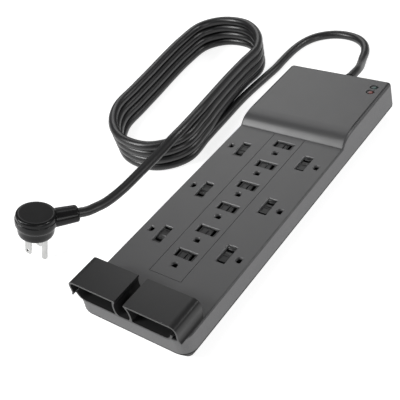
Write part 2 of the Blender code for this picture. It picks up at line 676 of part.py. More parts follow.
def boot_line():
    """Where the boot starts inside the plug, and the direction in which it points."""
    up, to_pin, boot = plug_axes()
    start = PLUG_FACE + to_pin * PLUG_BODY_X + up * BOOT_HEIGHT + boot * BOOT_START
    return start, boot * math.cos(BOOT_RISE) + up * math.sin(BOOT_RISE)


def make_plug(finishes):
    """Flat plug standing on its ground pin: moulded body with its boot, two blades and the pin."""
    up, to_pin, boot = plug_axes()
    across = up.cross(to_pin)
    place = Matrix((to_pin, across, up)).transposed().to_4x4()
    place.translation = PLUG_FACE
    profile = [
        (0.0, 22.0), (15.3, 22.0), (16.2, 21.4), (16.6, 20.4), (16.6, 18.2), (17.0, 16.0), (17.0, 12.0), (15.6, 10.0),
        (15.2, 6.5), (15.0, 3.2), (13.6, 1.0), (11.0, 0.0), (0.0, 0.0),
    ]
    points = [(radius * MM, height * MM) for radius, height in profile]
    centred = place @ Matrix.Translation((PLUG_BODY_X, 0.0, 0.0))
    body = add("plug_body", turned(points, "plug_body", centred, 28), finishes["black"])
    start, direction = boot_line()
    side = up.cross(direction).normalized()
    boot_frame = Matrix((side, direction.cross(side), direction)).transposed().to_4x4()
    boot_frame.translation = start
    sleeve = cylinder((0.0, 0.0, 0.0), 1.0, 0.0, BOOT_LENGTH, segments=18, top_radius=0.94,
                      stretch=(8.3 * MM, 6.8 * MM))
    combine(body, [placed(sleeve, boot_frame)], "UNION")
    for name, y in (("neutral", -BLADE_X), ("hot", BLADE_X)):
        blade = box((-3.15 * MM, y - 0.75 * MM, -BLADE_LENGTH), (3.15 * MM, y + 0.75 * MM, -GAP))
        blade_obj = add(f"plug_blade_{name}", placed(blade, place), finishes["nickel"])
        hole = cylinder((0.0, 0.0, -14.5 * MM), 1.5 * MM, y - 2.0 * MM, y + 2.0 * MM, axis="Y", segments=10)
        combine(blade_obj, [placed(hole, place)], "DIFFERENCE")
    pin_profile = [(0.0, -0.3), (2.35, -0.3), (2.35, -19.2), (1.7, -20.8), (0.0, -PIN_LENGTH / MM)]
    pin_place = place @ Matrix.Translation((-GROUND_Y, 0.0, 0.0))
    pin = turned([(r * MM, h * MM) for r, h in pin_profile], "plug_ground_pin", pin_place, 12)
    add("plug_ground_pin", pin, finishes["nickel"])


def hank_outline(offset):
    """The hank's outline seen from above, moved out from its middle line by an offset."""
    middle = smooth_route([(x, y, 0.0) for x, y in HANK_ROUTE], 12.0 * MM, closed=True)[:-1]
    outline = []
    for i, point in enumerate(middle):
        along = (middle[(i + 1) % len(middle)] - middle[i - 1]).normalized()
        outline.append((point.x - along.y * offset, point.y + along.x * offset))
    return outline


def make_lead(finish):
    """The lead from the housing, its hank of stacked turns, and the tail to the plug."""
    lead = smooth_route(LEAD_ROUTE, 14.0 * MM)
    lead.insert(1, lead[0] + Vector((0.0, 2.0 * MM, 0.0)))
    tube("cord_lead", lead, CORD_R, finish, 3)
    hank = add("cord_hank", extruded(hank_outline(-HANK_HALF_BAND), 0.0, HANK_HEIGHT, "cord_hank"), finish)
    hole = extruded(hank_outline(HANK_HALF_BAND), -5.0 * MM, HANK_HEIGHT + 5.0 * MM, "hole")
    combine(hank, [hole], "DIFFERENCE")
    landing_side = smooth_route(LANDING_ROUTE, 12.0 * MM)
    outline = [(p.x - CORD_R, p.y) for p in landing_side] + [(p.x + CORD_R, p.y) for p in landing_side[::-1]]
    landing = extruded(outline, 0.2 * MM, 2 * CORD_R, "landing")
    high = Vector((TAIL_ROUTE[0][0] * MM, TAIL_ROUTE[0][1] * MM + GAP, 0.0))
    low = Vector((-101.5 * MM, 160.0 * MM, 0.0))
    along = low - high
    length = along.length
    along.normalize()
    frame = Matrix((along, Vector((0.0, 0.0, 1.0)), along.cross(Vector((0.0, 0.0, 1.0))))).transposed().to_4x4()
    frame.translation = high
    profile = [(0.0, HANK_HEIGHT - 2.0 * MM), (length, HANK_HEIGHT - 2.0 * MM), (length, HANK_HEIGHT + 0.3 * MM),
               (0.0, TAIL_ROUTE[0][2] * MM + CORD_R)]
    ramp = extruded(profile, -CORD_R, CORD_R, "ramp", frame)
    combine(hank, [landing, ramp], "UNION")
    start, direction = boot_line()
    end = (start + direction * (BOOT_LENGTH + GAP)) / MM
    near = end + direction * 8.0
    tube("cord_tail", smooth_route(TAIL_ROUTE + [tuple(near), tuple(end)], 12.0 * MM), CORD_R, finish, 3)


# ---------------------------------------------------------------- the whole strip

def main():
    """Make every sub-part."""
    clear_scene()
    bpy.context.scene.collection.children.link(COLLECTION)
    bpy.context.scene.collection.children.link(CUTTERS)
    grey = material("grey_plastic", (0.13, 0.13, 0.135), 0.5)
    black = material("black_plastic", (0.02, 0.02, 0.022), 0.45)
    holder = material("holder_plastic", (0.045, 0.045, 0.047), 0.4)
    brass = material("brass", (0.8, 0.6, 0.25), 0.3, 1.0)
    nickel = material("nickel", (0.75, 0.75, 0.76), 0.25, 1.0)
    jacket = material("cord_jacket", (0.03, 0.03, 0.032), 0.5)
    finishes = {
        "black": black, "nickel": nickel, "steel": material("steel", (0.6, 0.6, 0.6), 0.35, 1.0),
        "button": material("button_plastic", (0.03, 0.03, 0.03), 0.4),
        "board": material("board", (0.02, 0.16, 0.06), 0.4),
        "varistor": material("varistor", (0.05, 0.1, 0.5), 0.4),
        "led_green": material("led_green", (0.2, 0.6, 0.25), 0.2),
        "led_red": material("led_red", (0.6, 0.08, 0.05), 0.2),
        "lens_green": material("lens_green", (0.05, 0.1, 0.08), 0.15),
        "lens_red": material("lens_red", (0.22, 0.06, 0.05), 0.15),
        "wire_line": material("wire_line", (0.02, 0.02, 0.02), 0.5),
        "wire_neutral": material("wire_neutral", (0.8, 0.8, 0.78), 0.5),
        "wire_ground": material("wire_ground", (0.05, 0.4, 0.1), 0.5),
    }
    make_top_cover(grey)
    make_base_cover(black)
    for index, (x, y) in enumerate(SCREWS, 1):
        make_screw(index, x, y, finishes["steel"])
    shutter = shutter_mesh()
    frames = outlet_frames()
    for name, place in frames:
        add(f"outlet_shutter_{name}", shutter, black, place)
    rows = {"centre": (0.0, -BLADE_X, BLADE_X), "left": (-SIDE_X, -SIDE_X - 2.2 * MM, -SIDE_X + 2.2 * MM),
            "right": (SIDE_X, SIDE_X + 2.2 * MM, SIDE_X - 2.2 * MM)}
    blocks = {"centre": ((-10.5, -105.5), (10.5, 58.7)), "left": ((-44.4, -88.0), (-23.9, 49.0)),
              "right": ((23.9, -88.0), (44.4, 49.0))}
    for row, (middle, neutral_x, hot_x) in rows.items():
        places = [place for name, place in frames if name.startswith(row)]
        low, high = [tuple(value * MM for value in corner) for corner in blocks[row]]
        make_socket_block(f"socket_block_{row}", low, high, places, black)
        make_blade_bus(f"neutral_bus_{row}", places, -BLADE_X, neutral_x, nickel)
        make_blade_bus(f"hot_bus_{row}", places, BLADE_X, hot_x, brass)
        make_ground_bus(f"ground_bus_{row}", places, nickel)
    make_electrics(finishes)
    make_strain_relief(black)
    make_cord_clip(holder)
    make_lead(jacket)
    make_plug(finishes)


main()
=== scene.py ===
# %% [markdown]
# # A wide power strip
#
# The strip is a grey plastic cover on a black pan. Twelve outlets sit on its lower deck, and its
# raised end holds the surge protection. A long mains lead leaves the rear wall, lies in a hank of
# stacked turns beside the strip, and ends in a flat plug.
#
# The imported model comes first. It fixes every place and size, so each piece below is made around it.

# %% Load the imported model
import math

import bmesh
import bpy
import numpy as np
from mathutils import Matrix, Vector


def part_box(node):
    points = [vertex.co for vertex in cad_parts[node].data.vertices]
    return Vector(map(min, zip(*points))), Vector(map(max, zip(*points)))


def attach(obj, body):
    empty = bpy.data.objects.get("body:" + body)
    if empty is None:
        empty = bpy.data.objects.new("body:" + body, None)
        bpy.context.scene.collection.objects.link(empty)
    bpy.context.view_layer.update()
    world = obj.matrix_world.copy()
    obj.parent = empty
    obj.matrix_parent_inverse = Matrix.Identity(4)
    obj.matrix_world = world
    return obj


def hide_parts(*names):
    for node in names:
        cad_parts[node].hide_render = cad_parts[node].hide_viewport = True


MM = 0.001
DECK_Z, RAISED_Z = 25.0, 33.0
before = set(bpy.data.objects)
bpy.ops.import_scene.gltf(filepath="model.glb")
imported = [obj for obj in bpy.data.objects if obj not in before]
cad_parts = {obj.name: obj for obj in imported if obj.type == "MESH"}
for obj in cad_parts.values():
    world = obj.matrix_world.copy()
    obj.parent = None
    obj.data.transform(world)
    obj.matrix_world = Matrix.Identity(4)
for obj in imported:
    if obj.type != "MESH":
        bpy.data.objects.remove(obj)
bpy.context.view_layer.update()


# %% [markdown]
# ## Camera
#
# The view looks down at the strip from its front right corner. A camera can be aimed with a
# constraint, or by its own three axes. The axes are used here, because the view has a small roll as
# well, and a constraint would take it away.

# %% Camera
camera_data = bpy.data.cameras.new("camera")
camera_data.lens = 67.75
camera_data.clip_start = 0.01
camera = bpy.data.objects.new("camera", camera_data)
bpy.context.scene.collection.objects.link(camera)
camera.location = (0.30641, -0.36014, 0.40492)
view_right = Vector((0.79421, 0.57438, -0.19829))
view_down = Vector((0.25530, -0.61155, -0.74889))
view_forward = Vector((-0.55141, 0.54415, -0.63233))
aim = Matrix((view_right, -view_down, -view_forward)).transposed()
camera.rotation_euler = aim.to_euler()
bpy.context.scene.camera = camera
print("camera angles:", [round(math.degrees(a), 2) for a in camera.rotation_euler])


# %% [markdown]
# ## Floor and light
#
# The strip stands on a pale floor, lit as for a catalogue: a dim white dome with soft square lamps.
# The floor glows a little, as a lit table does, so that shadows on it stay faint. The front lamp gives
# the slope its bright band, and the two behind light the flat tops and the line along the rim.

# %% Floor and lights
FLOOR_HALF = 4.0
floor_mesh = bpy.data.meshes.new("floor")
corners = [(x * FLOOR_HALF, y * FLOOR_HALF, 0) for x, y in ((-1, -1), (1, -1), (1, 1), (-1, 1))]
floor_mesh.from_pydata(corners, [], [(0, 1, 2, 3)])
pale_floor = bpy.data.materials.new("pale_floor")
pale_floor.use_nodes = True
floor_shader = pale_floor.node_tree.nodes["Principled BSDF"]
floor_shader.inputs["Base Color"].default_value = (0.45, 0.45, 0.45, 1.0)
floor_shader.inputs["Roughness"].default_value = 1.0
floor_shader.inputs["Specular IOR Level"].default_value = 0.0
floor_shader.inputs["Emission Color"].default_value = (1.0, 1.0, 1.0, 1.0)
floor_shader.inputs["Emission Strength"].default_value = 0.82
floor_mesh.materials.append(pale_floor)
floor = bpy.data.objects.new("floor", floor_mesh)
bpy.context.scene.collection.objects.link(floor)

world = bpy.data.worlds.new("studio")
world.use_nodes = True
world.node_tree.nodes["Background"].inputs["Color"].default_value = (1.0, 1.0, 1.0, 1.0)
world.node_tree.nodes["Background"].inputs["Strength"].default_value = 0.2
bpy.context.scene.world = world
bpy.context.scene.view_settings.view_transform = "Standard"


def soft_lamp(name, place, size, power):
    """A square area lamp that faces the middle of the strip."""
    lamp = bpy.data.lights.new(name, "AREA")
    lamp.size = size
    lamp.energy = power
    lamp_object = bpy.data.objects.new(name, lamp)
    lamp_object.location = place
    lamp_object.rotation_euler = (-Vector(place)).to_track_quat("-Z", "Y").to_euler()
    bpy.context.scene.collection.objects.link(lamp_object)


soft_lamp("front_left", (-0.95, -1.0, 1.0), 0.5, 22.0)
soft_lamp("overhead", (-0.35, -0.55, 1.5), 0.5, 5.0)
soft_lamp("back_left", (-1.35, 1.75, 1.6), 1.5, 15.0)
soft_lamp("back_right", (1.15, 1.0, 1.0), 0.3, 9.0)
soft_lamp("right_fill", (1.5, -0.5, 0.45), 0.8, 8.0)
print("lamps:", len(bpy.data.lights))


# %% [markdown]
# ## Shared surface effects
#
# Moulded plastic, rubber and metal are never one flat colour. A mould leaves a fine spark-eroded
# grain, handling leaves faint smears, and dust and drawing leave small differences in tone. These
# could be painted on each piece. Node groups are used instead, built once and placed in each
# material with its own values, so every plastic piece shows the same kind of surface.

# %% Node group helpers
def new_group(name, numbers, outputs):
    """An empty shader node group: a vector and a colour in, then numbers with their defaults."""
    group = bpy.data.node_groups.new(name, "ShaderNodeTree")
    group.interface.new_socket("Vector", in_out="INPUT", socket_type="NodeSocketVector")
    group.interface.new_socket("Color", in_out="INPUT", socket_type="NodeSocketColor")
    for label, default in numbers.items():
        socket = group.interface.new_socket(label, in_out="INPUT", socket_type="NodeSocketFloat")
        socket.default_value = default
    for label, kind in outputs.items():
        group.interface.new_socket(label, in_out="OUTPUT", socket_type=kind)
    return group, group.nodes.new("NodeGroupInput"), group.nodes.new("NodeGroupOutput")


def math_node(tree, operation, first, second):
    """A Math node; each operand is a socket or a number."""
    node = tree.nodes.new("ShaderNodeMath")
    node.operation = operation
    for socket, value in zip(node.inputs, (first, second)):
        if isinstance(value, (int, float)):
            socket.default_value = value
        else:
            tree.links.new(value, socket)
    return node.outputs[0]


def noise_node(tree, vector, scale, detail=2.0):
    """A noise texture's value, with its scale from a socket or a number."""
    node = tree.nodes.new("ShaderNodeTexNoise")
    node.inputs["Detail"].default_value = detail
    tree.links.new(vector, node.inputs["Vector"])
    if isinstance(scale, (int, float)):
        node.inputs["Scale"].default_value = scale
    else:
        tree.links.new(scale, node.inputs["Scale"])
    return node.outputs["Fac"]


def tinted(tree, colour, amount):
    """A colour multiplied by a number."""
    node = tree.nodes.new("ShaderNodeVectorMath")
    node.operation = "SCALE"
    tree.links.new(colour, node.inputs[0])
    tree.links.new(amount, node.inputs["Scale"])
    return node.outputs[0]


def around_one(tree, value, spread):
    """Turn a noise value into a factor that varies around one."""
    centred = math_node(tree, "SUBTRACT", value, 0.5)
    return math_node(tree, "ADD", math_node(tree, "MULTIPLY", centred, spread), 1.0)


# %% The moulded_surface group: mottled colour, smeared gloss and fine grain
plastic_group, group_in, group_out = new_group(
    "moulded_surface",
    {"Grain Scale": 2500.0, "Grain Contrast": 0.2, "Mottle": 0.1, "Roughness": 0.5, "Smear": 0.15},
    {"Color": "NodeSocketColor", "Roughness": "NodeSocketFloat", "Height": "NodeSocketFloat"})
vector = group_in.outputs["Vector"]
grain = noise_node(plastic_group, vector, group_in.outputs["Grain Scale"], 3.0)
broad = noise_node(plastic_group, vector, 28.0, 3.0)
smear = noise_node(plastic_group, vector, 95.0, 4.0)
grain_factor = around_one(plastic_group, grain, group_in.outputs["Grain Contrast"])
mottle_factor = around_one(plastic_group, broad, group_in.outputs["Mottle"])
factor = math_node(plastic_group, "MULTIPLY", grain_factor, mottle_factor)
plastic_group.links.new(tinted(plastic_group, group_in.outputs["Color"], factor), group_out.inputs["Color"])
gloss = math_node(plastic_group, "MULTIPLY", group_in.outputs["Roughness"],
                  around_one(plastic_group, smear, group_in.outputs["Smear"]))
plastic_group.links.new(gloss, group_out.inputs["Roughness"])
plastic_group.links.new(grain, group_out.inputs["Height"])
print("group", plastic_group.name, "has", len(plastic_group.nodes), "nodes")

# %% The drawn_metal group: long fine lines from rolling or drawing, and dull patches
metal_group, group_in, group_out = new_group(
    "drawn_metal", {"Line Scale": 900.0, "Line Contrast": 0.25, "Roughness": 0.3, "Tarnish": 0.3},
    {"Color": "NodeSocketColor", "Roughness": "NodeSocketFloat", "Height": "NodeSocketFloat"})
stretch = metal_group.nodes.new("ShaderNodeVectorMath")
stretch.operation = "MULTIPLY"
stretch.inputs[1].default_value = (1.0, 0.04, 0.04)
metal_group.links.new(group_in.outputs["Vector"], stretch.inputs[0])
lines = noise_node(metal_group, stretch.outputs[0], group_in.outputs["Line Scale"], 3.0)
patches = noise_node(metal_group, group_in.outputs["Vector"], 180.0, 3.0)
line_factor = around_one(metal_group, lines, group_in.outputs["Line Contrast"])
patch_factor = around_one(metal_group, patches, group_in.outputs["Tarnish"])
factor = math_node(metal_group, "MULTIPLY", line_factor, patch_factor)
metal_group.links.new(tinted(metal_group, group_in.outputs["Color"], factor), group_out.inputs["Color"])
gloss = math_node(metal_group, "MULTIPLY", group_in.outputs["Roughness"], patch_factor)
metal_group.links.new(gloss, group_out.inputs["Roughness"])
metal_group.links.new(lines, group_out.inputs["Height"])
print("group", metal_group.name, "has", len(metal_group.nodes), "nodes")


# %% Materials from the groups
def finish(name, group, colour, bump=0.0, bump_distance=0.02, metallic=0.0, coat=0.0, gloss=0.5, **numbers):
    """A Principled material whose colour, roughness and bump come from one of the groups."""
    material = bpy.data.materials.new(name)
    material.use_nodes = True
    tree = material.node_tree
    shader = tree.nodes["Principled BSDF"]
    effect = tree.nodes.new("ShaderNodeGroup")
    effect.node_tree = group
    where = tree.nodes.new("ShaderNodeTexCoord")
    tree.links.new(where.outputs["Object"], effect.inputs["Vector"])
    effect.inputs["Color"].default_value = (*colour, 1.0)
    for label, value in numbers.items():
        effect.inputs[label.replace("_", " ").title()].default_value = value
    tree.links.new(effect.outputs["Color"], shader.inputs["Base Color"])
    tree.links.new(effect.outputs["Roughness"], shader.inputs["Roughness"])
    shader.inputs["Metallic"].default_value = metallic
    shader.inputs["Specular IOR Level"].default_value = gloss
    if coat:
        shader.inputs["Coat Weight"].default_value = coat
        shader.inputs["Coat Roughness"].default_value = 0.12
    if bump:
        relief = tree.nodes.new("ShaderNodeBump")
        relief.inputs["Strength"].default_value = bump
        relief.inputs["Distance"].default_value = bump_distance * MM
        tree.links.new(effect.outputs["Height"], relief.inputs["Height"])
        tree.links.new(relief.outputs["Normal"], shader.inputs["Normal"])
    material.diffuse_color = (*colour, 1.0)
    return material


satin_grey = finish("satin_grey", plastic_group, (0.04, 0.04, 0.0412), bump=0.3,
                    grain_contrast=0.08, mottle=0.08, roughness=0.4, smear=0.15)
# The walls' grey is lighter than the top's: partly their grain, and partly painted light on the sides that
# face the lamps.
grained_grey = finish("grained_grey", plastic_group, (0.115, 0.115, 0.117), bump=0.9, bump_distance=0.06,
                      grain_scale=1300.0, grain_contrast=0.5, mottle=0.1, roughness=0.62)
inner_black = finish("inner_black", plastic_group, (0.008, 0.008, 0.0085), gloss=0.25, bump=0.5,
                     mottle=0.2, roughness=0.5)
shutter_grey = finish("shutter_grey", plastic_group, (0.008, 0.008, 0.0083), gloss=0.25, bump=0.3,
                      roughness=0.38)
base_black = finish("base_black", plastic_group, (0.008, 0.008, 0.0085), gloss=0.2, bump=0.8,
                    bump_distance=0.06, grain_scale=1200.0, grain_contrast=0.5, mottle=0.2, roughness=0.6)
holder_black = finish("holder_black", plastic_group, (0.0145, 0.0145, 0.0148), gloss=0.3, bump=0.2,
                      grain_contrast=0.1, mottle=0.08, roughness=0.3, smear=0.25)
cord_rubber = finish("cord_rubber", plastic_group, (0.007, 0.007, 0.0075), gloss=0.5, bump=0.4,
                     grain_scale=1600.0, grain_contrast=0.25, mottle=0.25, roughness=0.37, smear=0.3)
plug_rubber = finish("plug_rubber", plastic_group, (0.005, 0.005, 0.0053), gloss=0.22, bump=0.25,
                     grain_scale=2000.0, mottle=0.2, roughness=0.26, smear=0.3)
plug_matt = finish("plug_matt", plastic_group, (0.007, 0.007, 0.0073), gloss=0.15, bump=0.5,
                   grain_scale=2200.0, mottle=0.2, roughness=0.6, smear=0.2)
bright_nickel = finish("bright_nickel", metal_group, (0.47, 0.47, 0.465), bump=0.15, metallic=1.0,
                       roughness=0.2)
contact_brass = finish("contact_brass", metal_group, (0.72, 0.5, 0.19), bump=0.2, metallic=1.0,
                       roughness=0.28)
zinc_steel = finish("zinc_steel", metal_group, (0.5, 0.51, 0.52), bump=0.2, metallic=1.0, roughness=0.34)
board_green = finish("board_green", plastic_group, (0.012, 0.1, 0.035), bump=0.2, coat=0.6,
                     grain_scale=700.0, grain_contrast=0.5, roughness=0.35)
disc_blue = finish("disc_blue", plastic_group, (0.025, 0.07, 0.32), bump=0.5, coat=0.4,
                   grain_scale=600.0, mottle=0.25, roughness=0.35)
wire_black = finish("wire_black", plastic_group, (0.012, 0.012, 0.012), bump=0.2, roughness=0.4)
wire_white = finish("wire_white", plastic_group, (0.7, 0.69, 0.66), bump=0.2, roughness=0.4)
wire_green = finish("wire_green", plastic_group, (0.03, 0.3, 0.06), bump=0.2, roughness=0.4)
print(len(bpy.data.materials), "materials so far")


# %% [markdown]
# ## Helpers for pieces
#
# Each piece is a plain mesh with its place in its points. These helpers make the meshes, cut one
# solid with another, and turn modifiers into geometry, so that nothing stays live on a piece.

# %% Mesh helpers
def mesh_of(bm, name):
    """Close a bmesh into a mesh with its faces pointing out."""
    bmesh.ops.remove_doubles(bm, verts=bm.verts, dist=0.000001)
    bmesh.ops.recalc_face_normals(bm, faces=bm.faces)
    mesh = bpy.data.meshes.new(name)
    bm.to_mesh(mesh)
    bm.free()
    return mesh


def piece_of(name, mesh, *materials):
    """Put a mesh in the scene with its materials."""
    for material in materials:
        mesh.materials.append(material)
    piece = bpy.data.objects.new(name, mesh)
    bpy.context.scene.collection.objects.link(piece)
    return piece


def baked(piece):
    """Turn a piece's modifiers into plain geometry."""
    bpy.context.view_layer.update()
    graph = bpy.context.evaluated_depsgraph_get()
    mesh = bpy.data.meshes.new_from_object(piece.evaluated_get(graph), preserve_all_data_layers=True,
                                           depsgraph=graph)
    piece.modifiers.clear()
    piece.data = mesh
    return piece


def box_mesh(low, high):
    """A box between two corners given in millimetres."""
    low, high = Vector(low) * MM, Vector(high) * MM
    bm = bmesh.new()
    place = Matrix.Translation((low + high) / 2) @ Matrix.Diagonal((*(high - low), 1.0))
    bmesh.ops.create_cube(bm, size=1.0, matrix=place)
    return mesh_of(bm, "box")


def loft_mesh(name, loops):
    """A solid through loops of the same number of points, with a face across each end."""
    bm = bmesh.new()
    rings = [[bm.verts.new(p) for p in loop] for loop in loops]
    for ring_a, ring_b in zip(rings, rings[1:]):
        for i in range(len(ring_a)):
            j = (i + 1) % len(ring_a)
            bm.faces.new((ring_a[i], ring_a[j], ring_b[j], ring_b[i]))
    bm.faces.new(rings[0])
    bm.faces.new(rings[-1])
    return mesh_of(bm, name)


def turned_mesh(name, profile, steps=48):
    """A solid turned about Z from (radius, height) in millimetres, from its top to its bottom."""
    bm = bmesh.new()
    line = [bm.verts.new((radius * MM, 0.0, height * MM)) for radius, height in profile]
    edges = [bm.edges.new(pair) for pair in zip(line, line[1:])]
    bmesh.ops.spin(bm, geom=line + edges, cent=(0, 0, 0), axis=(0, 0, 1), angle=2 * math.pi, steps=steps)
    bmesh.ops.remove_doubles(bm, verts=bm.verts, dist=0.000002)
    bmesh.ops.dissolve_degenerate(bm, edges=bm.edges, dist=0.000001)
    return mesh_of(bm, name)


def cut(piece, meshes, operation="DIFFERENCE"):
    """Boolean a set of solids into or out of a piece."""
    group = bpy.data.collections.new(piece.name + "_tools")
    tools = [bpy.data.objects.new(f"tool_{i}", mesh) for i, mesh in enumerate(meshes)]
    for tool in tools:
        group.objects.link(tool)
    boolean = piece.modifiers.new(operation.lower(), "BOOLEAN")
    boolean.operation = operation
    boolean.operand_type = "COLLECTION"
    boolean.collection = group
    boolean.solver = "EXACT"
    boolean.material_mode = "INDEX"
    baked(piece)
    for tool in tools:
        bpy.data.objects.remove(tool)
    bpy.data.collections.remove(group)
    return piece


def rounded(piece, width, segments=3, angle=35.0):
    """Round a piece's sharp edges by a width in millimetres."""
    bevel = piece.modifiers.new("rounding", "BEVEL")
    bevel.width = width * MM
    bevel.segments = segments
    bevel.limit_method = "ANGLE"
    bevel.angle_limit = math.radians(angle)
    bevel.harden_normals = False
    return baked(piece)


def smooth(piece, angle=35.0):
    """Shade a piece smooth up to an angle, with flat faces kept flat."""
    piece.data.shade_smooth()
    piece.data.set_sharp_from_angle(angle=math.radians(angle))
    weigh = piece.modifiers.new("weigh", "WEIGHTED_NORMAL")
    weigh.keep_sharp = True
    return baked(piece)


def triangles(piece):
    """How many triangles a piece has."""
    piece.data.calc_loop_triangles()
    return len(piece.data.loop_triangles)


# %% [markdown]
# ## The mains lead
#
# The lead is three insulated cores in one round black jacket, 8.5 mm across. It leaves the rear
# wall, curves round on the table, and goes four times round a hank before its tail drops to the
# plug. It could be simulated, but a wound hank keeps its shape. So its route is given as points,
# each turn with its own height, and a curve with a round bevel follows it.

# %% The lead's route
CORD_D = 8.5
TURNS = 4
lead_route = [
    (-2.5, 158.0, 14.0), (-2.5, 169.0, 14.0), (-2.5, 179.3, 14.0), (-2.6, 185.5, 13.7), (-3.4, 194.5, 12.2),
    (-6.0, 204.0, 9.2), (-10.0, 215.0, 6.0), (-14.0, 226.5, 4.5), (-18.0, 240.0, 4.3), (-25.5, 252.0, 4.3),
    (-37.5, 260.5, 4.3), (-52.8, 263.5, 4.3), (-67.0, 260.8, 4.3), (-79.5, 252.7, 4.3), (-87.0, 241.0, 4.3),
    (-90.5, 226.0, 4.3), (-91.2, 210.4, 4.3), (-90.9, 196.0, 4.3), (-90.4, 185.3, 4.3), (-91.6, 165.0, 4.3),
    (-92.8, 145.0, 4.3), (-93.2, 122.6, 4.3), (-91.6, 91.0, 4.3), (-90.1, 61.0, 4.3),
]
climbing_side = [(-104.0, 177.0), (-100.5, 147.0), (-97.0, 117.0), (-92.5, 87.0), (-87.0, 57.5)]
level_side = [
    (-86.0, 26.0), (-106.0, 5.0), (-137.0, 3.5), (-163.0, 18.5), (-180.0, 44.0), (-184.0, 74.5),
    (-187.5, 106.0), (-191.5, 137.0), (-194.0, 167.5), (-192.0, 199.0), (-173.0, 217.0), (-144.0, 218.0),
    (-119.0, 201.5),
]
tail_route = [
    (-87.2, 62.3, 38.7), (-85.6, 44.0, 38.7), (-84.4, 26.0, 38.7), (-84.7, 13.1, 38.0), (-85.9, 2.4, 35.9),
    (-87.6, -8.9, 33.7), (-89.6, -18.5, 31.5), (-91.8, -27.7, 29.2), (-93.9, -37.1, 26.9),
    (-95.8, -45.2, 25.0), (-97.8, -52.7, 23.6), (-99.8, -59.9, 22.7), (-101.9, -67.0, 22.4),
    (-104.4, -73.4, 22.9),
]
HANK_MIDDLE = Vector((-141.0, 108.0))
LOWEST_TURN = CORD_D / 2
HIGHEST_TURN = LOWEST_TURN + (TURNS - 1) * CORD_D
NARROWER, SHORTER = 0.031, 0.011
LEFTWARD, REARWARD = 0.8, 1.95
FIRST_TURN_INWARD = 1.8


def settled(point, height):
    """A hank point at a height: a lower turn is a little narrower and lies a little further back."""
    low = (HIGHEST_TURN - height) / (HIGHEST_TURN - LOWEST_TURN)
    x = HANK_MIDDLE.x + (point[0] - HANK_MIDDLE.x) * (1.0 - NARROWER * low) - LEFTWARD * low
    y = HANK_MIDDLE.y + (point[1] - HANK_MIDDLE.y) * (1.0 - SHORTER * low) + REARWARD * low
    return (x, y, height)


route = list(lead_route)
climb_steps = len(climbing_side) - 1
for turn in range(TURNS):
    height = LOWEST_TURN + turn * CORD_D
    route += [settled(point, height) for point in level_side]
    last_turn = turn == TURNS - 1
    for i, point in enumerate(climbing_side[:-1] if last_turn else climbing_side):
        x, y, z = settled(point, height + CORD_D * i / climb_steps)
        if turn == 0:
            # The lead lies along this side on the table, so the first turn stays inside it.
            x -= FIRST_TURN_INWARD * math.sin(math.pi * i / climb_steps)
        route.append((x, y, z))
route += tail_route
print("route points before the plug:", len(route))


# %% [markdown]
# ## Where the plug stands
#
# The plug is flat and round. It stands tilted, with the tip of its long ground pin on the table, and
# its boot points back along the lead. The lead's last points come from the boot, so the plug's place
# is worked out before the lead is drawn.

# %% The plug's directions
BODY_OFFSET, BOOT_LENGTH = 2.5, 24.8
plug_face = Vector((-133.9, -119.6, 23.0)) * MM
lean = math.radians(19.0)
heading_angle = math.radians(48.0)
heading = Vector((math.cos(heading_angle), math.sin(heading_angle), 0.0))
plug_up = Vector((0.0, 0.0, 1.0)) * math.cos(lean) + heading * math.sin(lean)
plug_lead = heading * math.cos(lean) - Vector((0.0, 0.0, 1.0)) * math.sin(lean)
plug_side = plug_up.cross(plug_lead)
to_pin = (plug_lead - plug_side).normalized()
boot_turn = math.radians(12.0)
boot_flat = (plug_lead * math.cos(boot_turn) + plug_side * math.sin(boot_turn)).normalized()
boot_rise = math.radians(3.0)
boot_start = plug_face + to_pin * BODY_OFFSET * MM + plug_up * 13.4 * MM + boot_flat * 10.0 * MM
boot_way = boot_flat * math.cos(boot_rise) + plug_up * math.sin(boot_rise)
boot_end = boot_start + boot_way * BOOT_LENGTH * MM
for past_the_boot in (8.3, 0.3, -5.0):
    route.append(tuple((boot_end + boot_way * past_the_boot * MM) / MM))
plug_place = Matrix((to_pin, plug_up.cross(to_pin), plug_up)).transposed().to_4x4()
plug_place.translation = plug_face
print("boot ends at", [round(v / MM, 1) for v in boot_end])


# %% Draw the lead as one smooth curve
def smooth_route(points, step):
    """Points about a step apart on a smooth curve through the given ones, and its length; in metres."""
    points = [Vector(p) for p in points]
    ends = [2 * points[0] - points[1]] + points + [2 * points[-1] - points[-2]]
    fine = []
    for a, b, c, d in zip(ends, ends[1:], ends[2:], ends[3:]):
        for i in range(12):
            t = i / 12
            fine.append(0.5 * (2 * b + (c - a) * t + (2 * a - 5 * b + 4 * c - d) * t ** 2
                               + (3 * b - a - 3 * c + d) * t ** 3))
    fine.append(points[-1])
    fine = np.array(fine)
    along = np.concatenate([[0.0], np.cumsum(np.linalg.norm(np.diff(fine, axis=0), axis=1))])
    count = max(2, round(along[-1] / step))
    targets = np.linspace(0.0, along[-1], count + 1)
    return np.stack([np.interp(targets, along, fine[:, k]) for k in range(3)], axis=1), along[-1]


line, lead_length = smooth_route([Vector(p) * MM for p in route], 3.5 * MM)
lead_curve = bpy.data.curves.new("mains_lead", "CURVE")
lead_curve.dimensions = "3D"
lead_curve.bevel_depth = CORD_D / 2 * MM
lead_curve.bevel_resolution = 6
lead_curve.use_fill_caps = True
spline = lead_curve.splines.new("POLY")
spline.points.add(len(line) - 1)
spline.points.foreach_set("co", np.column_stack([line, np.ones(len(line))]).ravel())
spline.use_smooth = True
lead_curve.materials.append(cord_rubber)
mains_lead = bpy.data.objects.new("mains_lead", lead_curve)
bpy.context.scene.collection.objects.link(mains_lead)
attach(mains_lead, "housing")
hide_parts("cord_lead", "cord_hank", "cord_tail")
print("lead length in m:", round(lead_length, 3), "with", len(line), "points")


